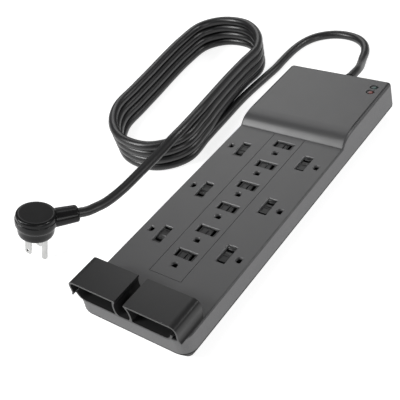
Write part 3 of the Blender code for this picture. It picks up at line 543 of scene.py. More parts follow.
# %% [markdown]
# ## The plug
#
# A moulded plug is one piece of soft black plastic round three metal contacts: two flat blades with
# a hole near the end, and a longer round pin. The body is turned, because it is round, and its boot
# is a loft of ovals that is joined to it. Each blade is a loft of one flat outline with a rounded
# end, and has its hole cut through it.

# %% Plug body and boot
body_profile = [
    (0.0, 22.0), (8.0, 22.0), (13.6, 21.95), (15.0, 21.7), (15.9, 21.1), (16.3, 20.3), (16.4, 19.2),
    (16.45, 17.9), (16.6, 17.4), (17.0, 17.1), (17.1, 16.6), (17.1, 14.0), (17.0, 12.0), (16.5, 10.9),
    (15.7, 10.2), (15.3, 9.2), (15.15, 6.5), (14.9, 3.4), (14.2, 1.7), (13.0, 0.6), (11.0, 0.0), (0.0, 0.0),
]
body_mesh = turned_mesh("plug_body", body_profile, 72)
body_mesh.transform(plug_place @ Matrix.Translation((BODY_OFFSET * MM, 0.0, 0.0)))
plug_body = piece_of("plug_moulding", body_mesh, plug_rubber, plug_matt)
boot_side = plug_up.cross(boot_way).normalized()
boot_top = boot_way.cross(boot_side)


def boot_loop(distance, half_width, half_height):
    """One oval of the boot, at a distance along it in millimetres."""
    loop = []
    for i in range(40):
        angle = 2 * math.pi * i / 40
        x = math.copysign(abs(math.cos(angle)) ** 0.85, math.cos(angle)) * half_width
        y = math.copysign(abs(math.sin(angle)) ** 0.85, math.sin(angle)) * half_height
        loop.append(boot_start + boot_way * distance * MM + boot_side * x * MM + boot_top * y * MM)
    return loop


boot_sizes = [(0.0, 8.6, 6.9), (6.0, 8.5, 6.9), (12.0, 8.3, 6.8), (18.0, 8.0, 6.5), (23.0, 7.8, 6.35),
              (24.2, 7.4, 6.0), (24.7, 6.6, 5.4), (BOOT_LENGTH, 5.8, 4.9)]
boot = loft_mesh("boot", [boot_loop(*sizes) for sizes in boot_sizes])
cut(plug_body, [boot], "UNION")
rounded(plug_body, 0.5, 2, 40)
for face in plug_body.data.polygons:
    is_top = face.normal.dot(plug_up) > 0.995
    face.material_index = int(is_top)
smooth(plug_body, 40)
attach(plug_body, "housing")
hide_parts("plug_body")
print("plug body triangles:", triangles(plug_body))


# %% Blades and ground pin
BLADE_OFFSET, PIN_OFFSET = 6.35, 11.9


def blade_mesh(y):
    """A flat blade with a rounded end: its outline in X and Z, thick along Y."""
    outline = [(-3.15, -0.3), (-3.15, -16.0), (-2.9, -17.0), (-2.2, -17.7), (-1.2, -17.9)]
    outline += [(-x, z) for x, z in outline[::-1]]
    loops = []
    for side, inset in ((-0.75, 0.22), (-0.53, 0.0), (0.53, 0.0), (0.75, 0.22)):
        loops.append([Vector((x - math.copysign(inset, x), y + side, z + (inset if z < -10 else 0.0))) * MM
                      for x, z in outline])
    return loft_mesh("blade", loops)


for name, y in (("neutral", -BLADE_OFFSET), ("hot", BLADE_OFFSET)):
    blade = piece_of(f"plug_contact_{name}", blade_mesh(y), bright_nickel)
    hole = turned_mesh("hole", [(0.0, 2.0), (1.6, 2.0), (1.6, -2.0), (0.0, -2.0)], 24)
    hole.transform(Matrix.Translation((0.0, y * MM, -14.3 * MM)) @ Matrix.Rotation(math.pi / 2, 4, "X"))
    cut(blade, [hole])
    blade.data.transform(plug_place)
    smooth(blade, 30)
    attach(blade, "housing")
    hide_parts(f"plug_blade_{name}")
pin_profile = [(0.0, -0.3), (2.37, -0.3), (2.37, -18.8), (2.3, -19.5), (2.0, -20.3), (1.4, -20.9),
               (0.7, -21.2), (0.0, -21.3)]
pin_mesh = turned_mesh("pin", pin_profile, 32)
pin_mesh.transform(plug_place @ Matrix.Translation((PIN_OFFSET * MM, 0.0, 0.0)))
ground_pin = smooth(piece_of("plug_contact_ground", pin_mesh, bright_nickel), 30)
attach(ground_pin, "housing")
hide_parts("plug_ground_pin")


# %% [markdown]
# ## Strain relief
#
# Where the lead leaves the wall, a soft tapered sleeve keeps it from kinking. Real ones have slots
# between ribs, so that they bend more easily towards the tip. The ribs repeat with a rule, each a
# little smaller than the last, so Geometry Nodes set them along a line.

# %% Sleeve core
LEAD_X, LEAD_Z = -2.5, 14.0
sleeve_profile = [
    (0.0, 178.8), (4.5, 178.8), (4.8, 178.5), (4.9, 177.0), (5.2, 171.0), (5.6, 165.0), (6.2, 161.4),
    (7.6, 160.6), (8.0, 160.2), (8.05, 159.4), (7.95, 158.85), (7.7, 158.65), (6.65, 158.6), (6.65, 152.1),
    (8.0, 152.0), (8.0, 150.8), (0.0, 150.8),
]
sleeve_core = turned_mesh("sleeve", sleeve_profile)
print("sleeve core triangles:", sum(len(face.vertices) - 2 for face in sleeve_core.polygons))


# %% Geometry tree helpers
NUMBER, COUNT, PLACE = "NodeSocketFloat", "NodeSocketInt", "NodeSocketVector"


def new_tree(name, numbers):
    """A geometry tree with named inputs and a finish, and its group input and output nodes."""
    tree = bpy.data.node_groups.new(name, "GeometryNodeTree")
    tree.interface.new_socket("Geometry", in_out="INPUT", socket_type="NodeSocketGeometry")
    for label, (kind, default) in numbers.items():
        socket = tree.interface.new_socket(label, in_out="INPUT", socket_type=kind)
        socket.default_value = default
    tree.interface.new_socket("Finish", in_out="INPUT", socket_type="NodeSocketMaterial")
    tree.interface.new_socket("Geometry", in_out="OUTPUT", socket_type="NodeSocketGeometry")
    return tree, tree.nodes.new("NodeGroupInput"), tree.nodes.new("NodeGroupOutput")


def node(tree, kind, **links):
    """A node, with each named input linked to a socket or set to a value."""
    made = tree.nodes.new(kind)
    for label, value in links.items():
        socket = made.inputs[label.replace("_", " ")]
        if isinstance(value, bpy.types.NodeSocket):
            tree.links.new(value, socket)
        else:
            socket.default_value = value
    return made


def grow(name, mesh, tree, values):
    """Run a tree on a mesh: inputs are set by their identifiers, and the result becomes a plain mesh."""
    piece = piece_of(name, mesh)
    modifier = piece.modifiers.new(tree.name, "NODES")
    modifier.node_group = tree
    for item in tree.interface.items_tree:
        if item.item_type == "SOCKET" and item.in_out == "INPUT" and item.name in values:
            modifier[item.identifier] = values[item.name]
    return baked(piece)


def turned_by(tree, angle):
    """A rotation about Z by an angle from a socket."""
    angles = node(tree, "ShaderNodeCombineXYZ", Z=angle)
    return node(tree, "FunctionNodeEulerToRotation", Euler=angles.outputs[0]).outputs[0]


def hand_out(tree, geometry, tree_in, tree_out):
    """Make instances real, give them the tree's finish, and link them to its output."""
    real = node(tree, "GeometryNodeRealizeInstances", Geometry=geometry)
    coloured = node(tree, "GeometryNodeSetMaterial", Geometry=real.outputs["Geometry"],
                    Material=tree_in.outputs["Finish"])
    tree.links.new(coloured.outputs["Geometry"], tree_out.inputs["Geometry"])


# %% A tree that sets ribs along a line
rib_tree, tree_in, tree_out = new_tree("ribs_on_sleeve", {
    "Count": (COUNT, 7), "Pitch": (NUMBER, 0.003), "Start": (NUMBER, 0.164), "Rib Radius": (NUMBER, 0.0009),
    "Ring Radius": (NUMBER, 0.0067), "Taper": (NUMBER, 0.03)})
rib_points = node(rib_tree, "GeometryNodeMeshLine", Count=tree_in.outputs["Count"])
step_vector = node(rib_tree, "ShaderNodeCombineXYZ", Z=tree_in.outputs["Pitch"])
start_vector = node(rib_tree, "ShaderNodeCombineXYZ", Z=tree_in.outputs["Start"])
rib_tree.links.new(step_vector.outputs[0], rib_points.inputs["Offset"])
rib_tree.links.new(start_vector.outputs[0], rib_points.inputs["Start Location"])
ring = node(rib_tree, "GeometryNodeCurvePrimitiveCircle", Radius=tree_in.outputs["Ring Radius"])
ring.inputs["Resolution"].default_value = 48
rib_section = node(rib_tree, "GeometryNodeCurvePrimitiveCircle", Radius=tree_in.outputs["Rib Radius"])
rib_section.inputs["Resolution"].default_value = 10
rib = node(rib_tree, "GeometryNodeCurveToMesh", Curve=ring.outputs["Curve"],
           Profile_Curve=rib_section.outputs["Curve"])
rib_number = rib_tree.nodes.new("GeometryNodeInputIndex")
less = math_node(rib_tree, "MULTIPLY", rib_number.outputs[0], tree_in.outputs["Taper"])
size = math_node(rib_tree, "SUBTRACT", 1.0, less)
size_vector = node(rib_tree, "ShaderNodeCombineXYZ", X=size, Y=size, Z=1.0)
ribs = node(rib_tree, "GeometryNodeInstanceOnPoints", Points=rib_points.outputs["Mesh"],
            Instance=rib.outputs["Mesh"], Scale=size_vector.outputs[0])
both = node(rib_tree, "GeometryNodeJoinGeometry")
rib_tree.links.new(ribs.outputs["Instances"], both.inputs["Geometry"])
rib_tree.links.new(tree_in.outputs["Geometry"], both.inputs["Geometry"])
hand_out(rib_tree, both.outputs["Geometry"], tree_in, tree_out)

sleeve = grow("lead_sleeve", sleeve_core, rib_tree, {
    "Count": 6, "Pitch": 2.6 * MM, "Start": 163.0 * MM, "Rib Radius": 0.75 * MM, "Ring Radius": 5.7 * MM,
    "Taper": 0.035, "Finish": plug_rubber})
to_rear = Matrix.Translation((LEAD_X * MM, 0.0, LEAD_Z * MM)) @ Matrix.Rotation(-math.pi / 2, 4, "X")
sleeve.data.transform(to_rear)
smooth(sleeve, 40)
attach(sleeve, "housing")
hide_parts("strain_relief")
print("sleeve triangles:", triangles(sleeve))


# %% [markdown]
# ## The cover
#
# The cover is one moulding: drafted walls with a grained finish, a satin top, a steep slope with a
# long rounded crest, and the raised end. The walls' grey is lighter than the top's, partly from their
# grain and partly as painted light where they face the lamps. It could be a box with bevels, but the
# rounding of its rim grows from the deck to the raised end. So it is lofted through rings that follow
# the top's own height, and then hollowed and cut.

# %% The top's height and the outline
RIM_HALF, FRONT_Y, REAR_Y = 51.5, -156.7, 158.2
FRONT_CORNER, REAR_CORNER = 11.0, 4.5
DRAFT, WALL, RIM_Z = 0.8, 2.2, 11.0
SLOPE_START, SLOPE_END = 64.5, 85.0
slope = [
    (SLOPE_START, DECK_Z), (65.6, 25.3), (66.5, 26.2), (68.5, 28.2), (70.5, 29.9), (73.0, 31.2), (76.0, 32.1),
    (80.0, 32.7), (SLOPE_END, RAISED_Z),
]


def top_height(y):
    """The cover's height at a place along it, in millimetres, smooth through the slope's points."""
    if y <= SLOPE_START:
        return DECK_Z
    grades = [0.0]
    grades += [(c[1] - a[1]) / (c[0] - a[0]) for a, c in zip(slope, slope[2:])] + [0.0]
    for (y_a, z_a), (y_b, z_b), g_a, g_b in zip(slope, slope[1:], grades, grades[1:]):
        if y <= y_b:
            run = y_b - y_a
            t = (y - y_a) / run
            return (z_a * (2 * t ** 3 - 3 * t ** 2 + 1) + z_b * (3 * t ** 2 - 2 * t ** 3)
                    + g_a * run * (t ** 3 - 2 * t ** 2 + t) + g_b * run * (t ** 3 - t ** 2))
    return RAISED_Z


def up_slope(y):
    """How far up the slope a place is: 0 on the deck, 1 on the raised end."""
    return (top_height(y) - DECK_Z) / (RAISED_Z - DECK_Z)


stations = [SLOPE_START + (SLOPE_END - SLOPE_START) * (i / 30) ** 1.4 for i in range(31)]


def side_line(inset_low, inset_high):
    """Right half of the outline from front to rear; the inset changes up the slope."""
    side = []
    front = FRONT_CORNER - inset_low
    for i in range(15):
        angle = math.radians(-90 + 90 * i / 14)
        side.append((RIM_HALF - FRONT_CORNER + front * math.cos(angle),
                     FRONT_Y + FRONT_CORNER + front * math.sin(angle)))
    for y in stations:
        side.append((RIM_HALF - inset_low - (inset_high - inset_low) * up_slope(y), y))
    rear = max(REAR_CORNER - inset_high, 0.5)
    for i in range(11):
        angle = math.radians(90 * i / 10)
        side.append((RIM_HALF - inset_high - rear + rear * math.cos(angle),
                     REAR_Y - inset_high - rear + rear * math.sin(angle)))
    return side


def cover_loops(rings):
    """Both halves of each ring, given as its inset on the deck, on the raised end, and its height."""
    loops = []
    for inset_low, inset_high, height in rings:
        side = side_line(inset_low, inset_high)
        loop = [Vector((x, y, height(y))) * MM for x, y in side]
        loops.append(loop + [Vector((-p.x, p.y, p.z)) for p in loop[::-1]])
    return loops


def cover_loft(name, rings):
    """A solid through the rings, closed across both ends by strips from side to side."""
    bm = bmesh.new()
    loops = [[bm.verts.new(p) for p in loop] for loop in cover_loops(rings)]
    for ring_a, ring_b in zip(loops, loops[1:]):
        for i in range(len(ring_a)):
            j = (i + 1) % len(ring_a)
            bm.faces.new((ring_a[i], ring_a[j], ring_b[j], ring_b[i]))
    for ring in (loops[0], loops[-1]):
        count = len(ring)
        for i in range(count // 2 - 1):
            bm.faces.new((ring[i], ring[i + 1], ring[count - 2 - i], ring[count - 1 - i]))
    return mesh_of(bm, name)


print("top height at four places:", [round(top_height(y), 2) for y in (60, 66, 70, 90)])

# %% Loft the cover and hollow it
DECK_RIM, RAISED_RIM = 1.5, 2.7


def rim_drop(y, turn):
    """How far a ring of the rim's rounding lies under the top; turn is 0 at the wall and 90 on top."""
    radius = DECK_RIM + (RAISED_RIM - DECK_RIM) * up_slope(y)
    return radius * (1.0 - math.sin(math.radians(turn)))


outer_rings = [(0.0, 0.0, lambda y: RIM_Z), (0.06, 0.06, lambda y: RIM_Z + 1.0)]
for turn in (0, 15, 30, 45, 60, 75, 90):
    spread = 1.0 - math.cos(math.radians(turn))
    outer_rings.append((DRAFT + DECK_RIM * spread, DRAFT + RAISED_RIM * spread,
                        lambda y, turn=turn: top_height(y) - rim_drop(y, turn)))
inner_rings = [
    (DRAFT + WALL + 1.0, DRAFT + WALL + 1.0, lambda y: top_height(y) - WALL),
    (DRAFT + WALL, DRAFT + WALL, lambda y: top_height(y) - WALL - 1.0),
    (WALL, WALL, lambda y: RIM_Z), (WALL, WALL, lambda y: RIM_Z - 5.0),
]
cover = piece_of("cover_shell", cover_loft("cover_shell", outer_rings), satin_grey, grained_grey)
cut(cover, [cover_loft("hollow", inner_rings)])
print("cover after hollowing:", triangles(cover))


# %% [markdown]
# ## Openings in the cover
#
# Each outlet has a window for its two blade slots and a D-shaped hole for the ground pin, all with a
# fine chamfer that catches light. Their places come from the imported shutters. Two fine lines split
# the deck into three panels, as a seam in the mould does, and a third closes the middle one in front.
# A groove runs inside each side of the raised rim. A chamfer cutter is a loft that widens upwards, so
# a plain Boolean leaves the bevel.

# %% Outlet places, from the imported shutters
SHUTTER_SHORT_END, SHUTTER_LONG_END = 9.6, 12.0
outlets = {}
for node_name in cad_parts:
    if node_name.startswith("outlet_shutter_"):
        low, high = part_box(node_name)
        middle = (low + high) / 2
        name = node_name.removeprefix("outlet_shutter_")
        if name.startswith("centre"):
            x, y, turn = low.x + SHUTTER_SHORT_END * MM, middle.y, 0.0
        elif name.startswith("left"):
            x, y, turn = middle.x, low.y + SHUTTER_LONG_END * MM, -math.pi / 2
        else:
            x, y, turn = middle.x, low.y + SHUTTER_SHORT_END * MM, math.pi / 2
        outlets[name] = Matrix.Translation((x, y, DECK_Z * MM)) @ Matrix.Rotation(turn, 4, "Z")
print(len(outlets), "outlets, the first at", [round(v / MM, 2) for v in outlets["centre_1"].translation])


# %% Cutters with a chamfer
def rounded_box_outline(low, high, radius, steps=4):
    """A rectangle's outline with rounded corners."""
    outline = []
    for k, (cx, cy) in enumerate([(high[0] - radius, high[1] - radius), (low[0] + radius, high[1] - radius),
                                  (low[0] + radius, low[1] + radius), (high[0] - radius, low[1] + radius)]):
        for i in range(steps + 1):
            angle = math.radians(90 * k + 90 * i / steps)
            outline.append((cx + radius * math.cos(angle), cy + radius * math.sin(angle)))
    return outline


def oval_outline(half_width, half_height, steps):
    """An oval's outline; a circle where both halves are alike."""
    angles = [2 * math.pi * i / steps for i in range(steps)]
    return [(half_width * math.cos(a), half_height * math.sin(a)) for a in angles]


def chamfer_cutter(outline, depth, chamfer=0.4):
    """A cutter straight up to just under the surface, then widening by a chamfer."""
    centre = Vector((sum(x for x, y in outline), sum(y for x, y in outline))) / len(outline)

    def spread(by, height):
        loop = []
        for i, (x, y) in enumerate(outline):
            ahead, behind = outline[(i + 1) % len(outline)], outline[i - 1]
            across = Vector((ahead[1] - behind[1], behind[0] - ahead[0])).normalized()
            if across.dot(Vector((x, y)) - centre) < 0:
                across = -across
            loop.append(Vector((x + across.x * by, y + across.y * by, height)) * MM)
        return loop

    return loft_mesh("cutter", [spread(0.0, -depth), spread(0.0, -chamfer), spread(chamfer + 0.3, 0.3)])


window = rounded_box_outline((-7.7, -4.1), (10.3, 4.1), 0.5)
HOLE_RADIUS = 2.7
hole_y = -PIN_OFFSET - 0.3
ground_hole = [(HOLE_RADIUS * math.cos(math.radians(a)), hole_y + HOLE_RADIUS * math.sin(math.radians(a)))
               for a in range(0, 181, 12)]
ground_hole += [(-2.7, hole_y - 1.7), (-2.4, hole_y - 2.0), (2.4, hole_y - 2.0), (2.7, hole_y - 1.7)]
openings = []


def open_at(place, outline, depth, chamfer=0.4):
    """Add a chamfered cutter at a place to the list of openings."""
    cutter = chamfer_cutter(outline, depth, chamfer)
    cutter.transform(place)
    openings.append(cutter)


for place in outlets.values():
    open_at(place, window, 4.0)
    open_at(place, ground_hole, 4.0)
for name in ("lens_green", "lens_red"):
    low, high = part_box(name)
    middle = (low + high) / 2
    open_at(Matrix.Translation((middle.x, middle.y, RAISED_Z * MM)), oval_outline(3.8, 3.3, 32), 4.0, 0.25)
holder_pegs = [(x, y) for x in (-20.0, 20.0) for y in (-150.0, -139.0)]
peg_slot = rounded_box_outline((-2.8, -1.5), (2.8, 1.5), 0.3)
for x, y in holder_pegs:
    open_at(Matrix.Translation((x * MM, y * MM, DECK_Z * MM)), peg_slot, 4.0, 0.2)
BUTTON_X, BUTTON_Z = -39.0, 17.0
facing_rear = Matrix.Rotation(-math.pi / 2, 4, "X")
for x, z, radius in ((LEAD_X, LEAD_Z, 7.0), (BUTTON_X, BUTTON_Z, 3.8)):
    open_at(Matrix.Translation((x * MM, 158.0 * MM, z * MM)) @ facing_rear, oval_outline(radius, radius, 40),
            6.0, 0.3)
cut(cover, openings)
print("cover after its openings:", triangles(cover))

# %% Seam lines and the rim groove
SEAM_X, SEAM_FRONT_Y, SEAM_REAR_Y = (-14.4, 15.1), -112.15, 64.2
SEAM_HALF, SEAM_FLOOR, GROOVE_X = 0.22, 24.65, 48.3
front = SEAM_FRONT_Y - 0.5
grooves = [box_mesh((x - SEAM_HALF, front, SEAM_FLOOR), (x + SEAM_HALF, SEAM_REAR_Y, 26.0)) for x in SEAM_X]
grooves.append(box_mesh((SEAM_X[0] - SEAM_HALF, front, SEAM_FLOOR),
                        (SEAM_X[1] + SEAM_HALF, SEAM_FRONT_Y, 26.0)))
for x in (-GROOVE_X, GROOVE_X):
    grooves.append(box_mesh((x - 0.25, 85.5, 32.55), (x + 0.25, 154.2, 34.0)))
cut(cover, grooves)
# Faces on the walls take the lighter grey, which is partly grain and partly painted light where the walls
# face the lamps.
for face in cover.data.polygons:
    on_wall = face.normal.z < 0.35 and face.center.z < (top_height(face.center.y / MM) - 1.0) * MM
    face.material_index = int(on_wall)
smooth(cover, 28)
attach(cover, "housing")
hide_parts("top_cover")
print("finished cover:", triangles(cover), "triangles")


# %% [markdown]
# ## Outlet shutters
#
# Under each window lies a sliding safety shutter: a runner plate with two openings, raised blocks
# between them and a small block at each end. All twelve are alike, and each slides on its own. The
# shape is made once, and a Geometry Nodes tree stands it at one outlet's place and turn, once for
# each body.

# %% One shutter, around its own outlet
shutter = piece_of("shutter_pattern", box_mesh((-SHUTTER_SHORT_END, -4.9, -4.1),
                                               (SHUTTER_LONG_END, 4.9, -2.6)))


def block(*outline):
    """A block of the shutter from its outline in X and Z; every block is as wide as the window."""
    return loft_mesh("block", [[Vector((x, y, z)) * MM for x, z in outline] for y in (-3.75, 3.75)])


blocks = [
    block((-5.1, -2.9), (2.0, -2.9), (2.0, -2.1), (1.1, -1.2), (-5.1, -1.2)),
    block((1.9, -2.9), (5.1, -2.9), (5.1, -2.1), (4.7, -1.8), (1.9, -1.8)),
    block((7.6, -2.9), (9.9, -2.9), (9.9, -0.8), (8.7, -0.8), (7.6, -1.9)),
    block((-9.2, -2.9), (-7.5, -2.9), (-7.5, -1.6), (-7.9, -1.3), (-9.2, -1.3)),
]
cut(shutter, blocks, "UNION")
cut(shutter, [box_mesh((-7.5, -3.95, -5.0), (-5.1, 3.95, 0.0)), box_mesh((5.1, -3.4, -5.0), (7.6, 3.4, 0.0)),
              box_mesh((-4.3, -2.9, -1.65), (0.6, 2.9, 0.0)), box_mesh((3.1, -4.5, -2.1), (3.5, 4.5, 0.0))])
rounded(shutter, 0.14, 2, 40)
smooth(shutter, 40)
print("shutter pattern triangles:", triangles(shutter))
pattern = shutter.data
bpy.data.objects.remove(shutter)

# %% Set one shutter at each outlet
shutter_tree, tree_in, tree_out = new_tree("shutter_at_outlet", {
    "Place": (PLACE, (0, 0, 0)), "Turn": (NUMBER, 0.0), "Size": (NUMBER, 1.0)})
spot = node(shutter_tree, "GeometryNodePoints", Position=tree_in.outputs["Place"])
rotation = turned_by(shutter_tree, tree_in.outputs["Turn"])
standing = node(shutter_tree, "GeometryNodeInstanceOnPoints", Points=spot.outputs[0],
                Instance=tree_in.outputs["Geometry"], Rotation=rotation, Scale=tree_in.outputs["Size"])
hand_out(shutter_tree, standing.outputs["Instances"], tree_in, tree_out)
for name, place in outlets.items():
    piece = grow(f"shutter_{name}", pattern.copy(), shutter_tree, {
        "Place": tuple(place.translation), "Turn": place.to_euler().z, "Size": 1.0, "Finish": shutter_grey})
    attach(piece, f"outlet_shutter_{name}")
    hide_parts(f"outlet_shutter_{name}")
print("shutters of", triangles(piece), "triangles each")


# %% [markdown]
# ## The cord holder
#
# The holder stands on the front of the deck on four pegs. It is one springy sheet, bent into two wide
# channels with a narrow gap between them, so its outline is drawn once and pulled out along the
# strip's length. The edges get a small rounding, and the lower rear corner of each side wall is cut
# to a curve.

# %% Holder outline
LOW, TOP, SHEET = 25.3, 42.0, 1.6
END_X, END_RADIUS = 36.0, 8.6
end_outer = [(43.5, TOP), (45.2, 41.95), (46.5, 41.6), (47.7, 41.0), (48.6, 40.2), (49.2, 39.2), (49.6, 38.0),
             (49.75, 36.5), (49.8, 35.0), (49.65, 33.5), (49.6, 32.0), (49.6, 30.7), (49.8, 29.5),
             (50.3, 28.4), (51.2, 27.4)]
end_inner = [(43.3, 40.4), (44.7, 40.35), (45.9, 40.0), (46.7, 39.6), (47.3, 39.1), (47.75, 38.4),
             (48.0, 37.6), (48.15, 36.3), (48.2, 35.0), (48.05, 33.5), (48.0, 32.0), (48.0, 30.5),
             (48.2, 29.2), (48.9, 27.8), (49.9, 26.7)]


def arc_points(across, up, radius, start, end, steps):
    """Points on an arc round a middle in an upright plane, with angles in degrees."""
    angles = [math.radians(start + (end - start) * i / steps) for i in range(steps + 1)]
    return [(across + radius * math.cos(a), up + radius * math.sin(a)) for a in angles]


half_outline = [(0.0, LOW)]
half_outline += arc_points(END_X, LOW + END_RADIUS, END_RADIUS, -90, -8, 12)
half_outline += arc_points(END_X, LOW + END_RADIUS, END_RADIUS - SHEET, -8, -90, 12)
half_outline += [(8.6, LOW + SHEET), (7.9, LOW + SHEET + 0.5), (7.9, 28.4), (8.2, 29.8), (8.32, 31.4),
                 (8.3, 33.0), (8.05, 35.0), (7.6, 37.0), (7.0, 39.2), (6.6, TOP - SHEET)]
half_outline += end_inner + end_outer[::-1]
half_outline += [(4.1, TOP), (4.1, TOP - 1.2), (4.6, 39.9), (5.3, 38.6), (5.9, 37.5), (6.4, 35.6),
                 (6.7, 33.5), (6.7, 31.8), (6.5, 30.3), (5.9, 28.6), (5.0, LOW + SHEET + 0.6),
                 (4.1, LOW + SHEET + 0.1), (3.0, LOW + SHEET)]
outline = half_outline + [(-x, z) for x, z in half_outline[::-1] if x > 0.0]
HOLDER_FRONT, HOLDER_REAR = -158.2, -130.7
holder_mesh = loft_mesh("cord_holder", [[Vector((x, y, z)) * MM for x, z in outline]
                                        for y in (HOLDER_FRONT, HOLDER_REAR)])
holder = piece_of("cord_holder", holder_mesh, holder_black)
pegs = [box_mesh((x - 2.5, y - 1.2, 19.0), (x + 2.5, y + 1.2, 26.1)) for x, y in holder_pegs]
cut(holder, pegs, "UNION")
CORNER_RADIUS, CORNER_TOP = 6.0, 32.6


def corner_cutter(side):
    """What is cut from the side wall's lower rear corner: a block with a quarter circle left out."""
    loop = [(HOLDER_REAR + 1.0, DECK_Z), (HOLDER_REAR - CORNER_RADIUS, DECK_Z)]
    loop += arc_points(HOLDER_REAR - CORNER_RADIUS, CORNER_TOP, CORNER_RADIUS, -90, 0, 10)
    loop.append((HOLDER_REAR + 1.0, CORNER_TOP))
    near, far = sorted((side * 46.8, side * 53.0))
    return loft_mesh("corner", [[Vector((x, y, z)) * MM for y, z in loop] for x in (near, far)])


cut(holder, [corner_cutter(-1), corner_cutter(1)])
rounded(holder, 0.3, 3, 40)
smooth(holder, 40)
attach(holder, "cord_clip")
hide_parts("cord_clip")
print("holder triangles:", triangles(holder))


# %% [markdown]
# ## Screws, button and indicator lights
#
# Six cross-head screws hold the base from below. They are all alike and fixed to the same body, so a
# Geometry Nodes tree sets one pattern screw on all six points at once. The button is turned, because
# it is round, and the light guides are lofts of ovals.

# %% Cross-head screws
screw_profile = [(0.0, 13.5), (0.5, 13.3), (1.0, 12.6), (1.4, 11.6), (1.4, 2.0), (3.0, 1.95), (3.0, 1.3),
                 (2.8, 0.85), (2.3, 0.5), (1.5, 0.33), (0.0, 0.3)]
screw = piece_of("screw_pattern", turned_mesh("screw", screw_profile, 32))
cut(screw, [box_mesh((-1.5, -0.3, 0.0), (1.5, 0.3, 1.3)), box_mesh((-0.3, -1.5, -0.01), (0.3, 1.5, 1.31))])
smooth(screw, 35)
screw_pattern = screw.data
bpy.data.objects.remove(screw)
screw_tree, tree_in, tree_out = new_tree("screws_on_points", {"Size": (NUMBER, 1.0), "Turn": (NUMBER, 0.4)})
screw_tree.interface.new_socket("Pattern", in_out="INPUT", socket_type="NodeSocketObject")
pattern_info = node(screw_tree, "GeometryNodeObjectInfo", Object=tree_in.outputs["Pattern"])
screw_number = screw_tree.nodes.new("GeometryNodeInputIndex")
screw_turn = math_node(screw_tree, "MULTIPLY", screw_number.outputs[0], tree_in.outputs["Turn"])
standing = node(screw_tree, "GeometryNodeInstanceOnPoints", Points=tree_in.outputs["Geometry"],
                Instance=pattern_info.outputs["Geometry"], Rotation=turned_by(screw_tree, screw_turn),
                Scale=tree_in.outputs["Size"])
hand_out(screw_tree, standing.outputs["Instances"], tree_in, tree_out)
screw_nodes = sorted(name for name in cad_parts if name.startswith("case_screw_"))
points = bpy.data.meshes.new("screw_points")
boxes = [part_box(name) for name in screw_nodes]
points.from_pydata([((low.x + high.x) / 2, (low.y + high.y) / 2, 0.0) for low, high in boxes], [], [])
screw_object = piece_of("screw_pattern", screw_pattern)
case_screws = grow("case_screws", points, screw_tree, {"Size": 1.0, "Turn": 0.7, "Finish": zinc_steel,
                                                       "Pattern": screw_object})
bpy.data.objects.remove(screw_object)
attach(case_screws, "housing")
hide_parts(*screw_nodes)
print(len(screw_nodes), "screws with", triangles(case_screws), "triangles")

# %% Reset button
button_profile = [(0.0, 9.3), (1.6, 9.35), (2.4, 9.5), (2.9, 9.45), (3.25, 9.2), (3.4, 8.8), (3.4, 0.0),
                  (0.0, 0.0)]
button = piece_of("breaker_button", turned_mesh("button", button_profile), inner_black)
button.data.transform(Matrix.Translation((BUTTON_X * MM, 150 * MM, BUTTON_Z * MM)) @ facing_rear)
smooth(button, 35)
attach(button, "reset_button")
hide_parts("reset_button")
print("button triangles:", triangles(button))


# %% [markdown]
# Each indicator is a smoked light guide over a small lamp on the board. The guide is dark until its
# lamp is lit, with a tint near its middle. One flat colour would look painted, so the colour is mixed
# from a tinted centre to a dark edge by the distance from a spot near the middle of the oval.

# %% Light guides
FADE_PER_METRE, CLOUD_SHARE = 320.0, 0.35


def lens_finish(name, centre, dark, tint):
    """Smoked clear plastic: dark at its edge, tinted in the middle, with a fine cloudiness."""
    material = bpy.data.materials.new(name)
    material.use_nodes = True
    tree = material.node_tree
    shader = tree.nodes["Principled BSDF"]
    where = tree.nodes.new("ShaderNodeTexCoord")
    from_centre = tree.nodes.new("ShaderNodeVectorMath")
    from_centre.operation = "DISTANCE"
    from_centre.inputs[1].default_value = centre
    tree.links.new(where.outputs["Object"], from_centre.inputs[0])
    cloud = noise_node(tree, where.outputs["Object"], 900.0, 3.0)
    reach = math_node(tree, "MULTIPLY", from_centre.outputs["Value"], FADE_PER_METRE)
    reach = math_node(tree, "ADD", reach, math_node(tree, "MULTIPLY", cloud, CLOUD_SHARE))
    ramp = tree.nodes.new("ShaderNodeValToRGB")
    ramp.color_ramp.elements[0].position = 0.25
    ramp.color_ramp.elements[0].color = (*tint, 1.0)
    ramp.color_ramp.elements[1].position = 1.0
    ramp.color_ramp.elements[1].color = (*dark, 1.0)
    tree.links.new(reach, ramp.inputs["Fac"])
    tree.links.new(ramp.outputs["Color"], shader.inputs["Base Color"])
    shader.inputs["Roughness"].default_value = 0.2
    shader.inputs["Specular IOR Level"].default_value = 0.3
    return material


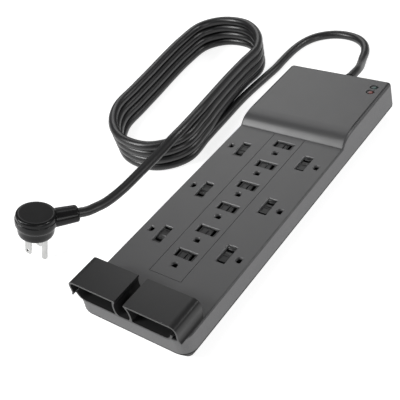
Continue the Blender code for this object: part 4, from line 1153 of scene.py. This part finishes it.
dome = [(0.02, 0.0), (0.35, -0.02), (0.65, -0.1), (0.87, -0.3), (0.97, -0.6), (1.0, -1.0), (1.0, -17.0)]
GUIDE_TOP = 32.6
lens_colours = {
    "green": ((0.006, 0.01, 0.01), (0.012, 0.06, 0.05)),
    "red": ((0.01, 0.006, 0.006), (0.16, 0.025, 0.018)),
}
for colour, (dark, tint) in lens_colours.items():
    low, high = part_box(f"lens_{colour}")
    middle = (low + high) / 2
    loops = []
    for scale, drop in dome:
        loops.append([Vector((middle.x / MM + x, middle.y / MM + y, GUIDE_TOP + drop)) * MM
                      for x, y in oval_outline(3.5 * scale, 3.0 * scale, 40)])
    tint_centre = (middle.x + 0.6 * MM, middle.y - 0.3 * MM, 32.5 * MM)
    tinted_lens = lens_finish(f"smoked_{colour}", tint_centre, dark, tint)
    guide = smooth(piece_of(f"light_guide_{colour}", loft_mesh("guide", loops), tinted_lens), 40)
    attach(guide, "housing")
    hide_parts(f"lens_{colour}")
print("light guides of", triangles(guide), "triangles each")


# %% [markdown]
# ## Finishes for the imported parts
#
# The base pan and the parts inside already have their right shapes, so they stay, and only get
# better materials: brass and nickel for the contacts, blue epoxy for the surge discs, green lacquer
# for the board, and coloured jackets for the three wires.

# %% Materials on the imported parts
lamp_green = finish("lamp_green", plastic_group, (0.08, 0.42, 0.12), bump=0.1, coat=0.8, roughness=0.2)
lamp_red = finish("lamp_red", plastic_group, (0.45, 0.03, 0.02), bump=0.1, coat=0.8, roughness=0.2)
finishes_by_start = {
    "base_cover": base_black, "socket_block": inner_black, "breaker_body": inner_black,
    "neutral_bus": bright_nickel, "hot_bus": contact_brass, "ground_bus": bright_nickel,
    "circuit_board": board_green, "varistor": disc_blue, "thermal_fuse": zinc_steel,
    "led_green": lamp_green, "led_red": lamp_red,
    "wire_line": wire_black, "wire_neutral": wire_white, "wire_ground": wire_green,
}
painted = 0
for start, material in finishes_by_start.items():
    for name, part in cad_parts.items():
        if name.startswith(start):
            part.data.materials.clear()
            part.data.materials.append(material)
            painted += 1
print("packed parts with new materials:", painted)
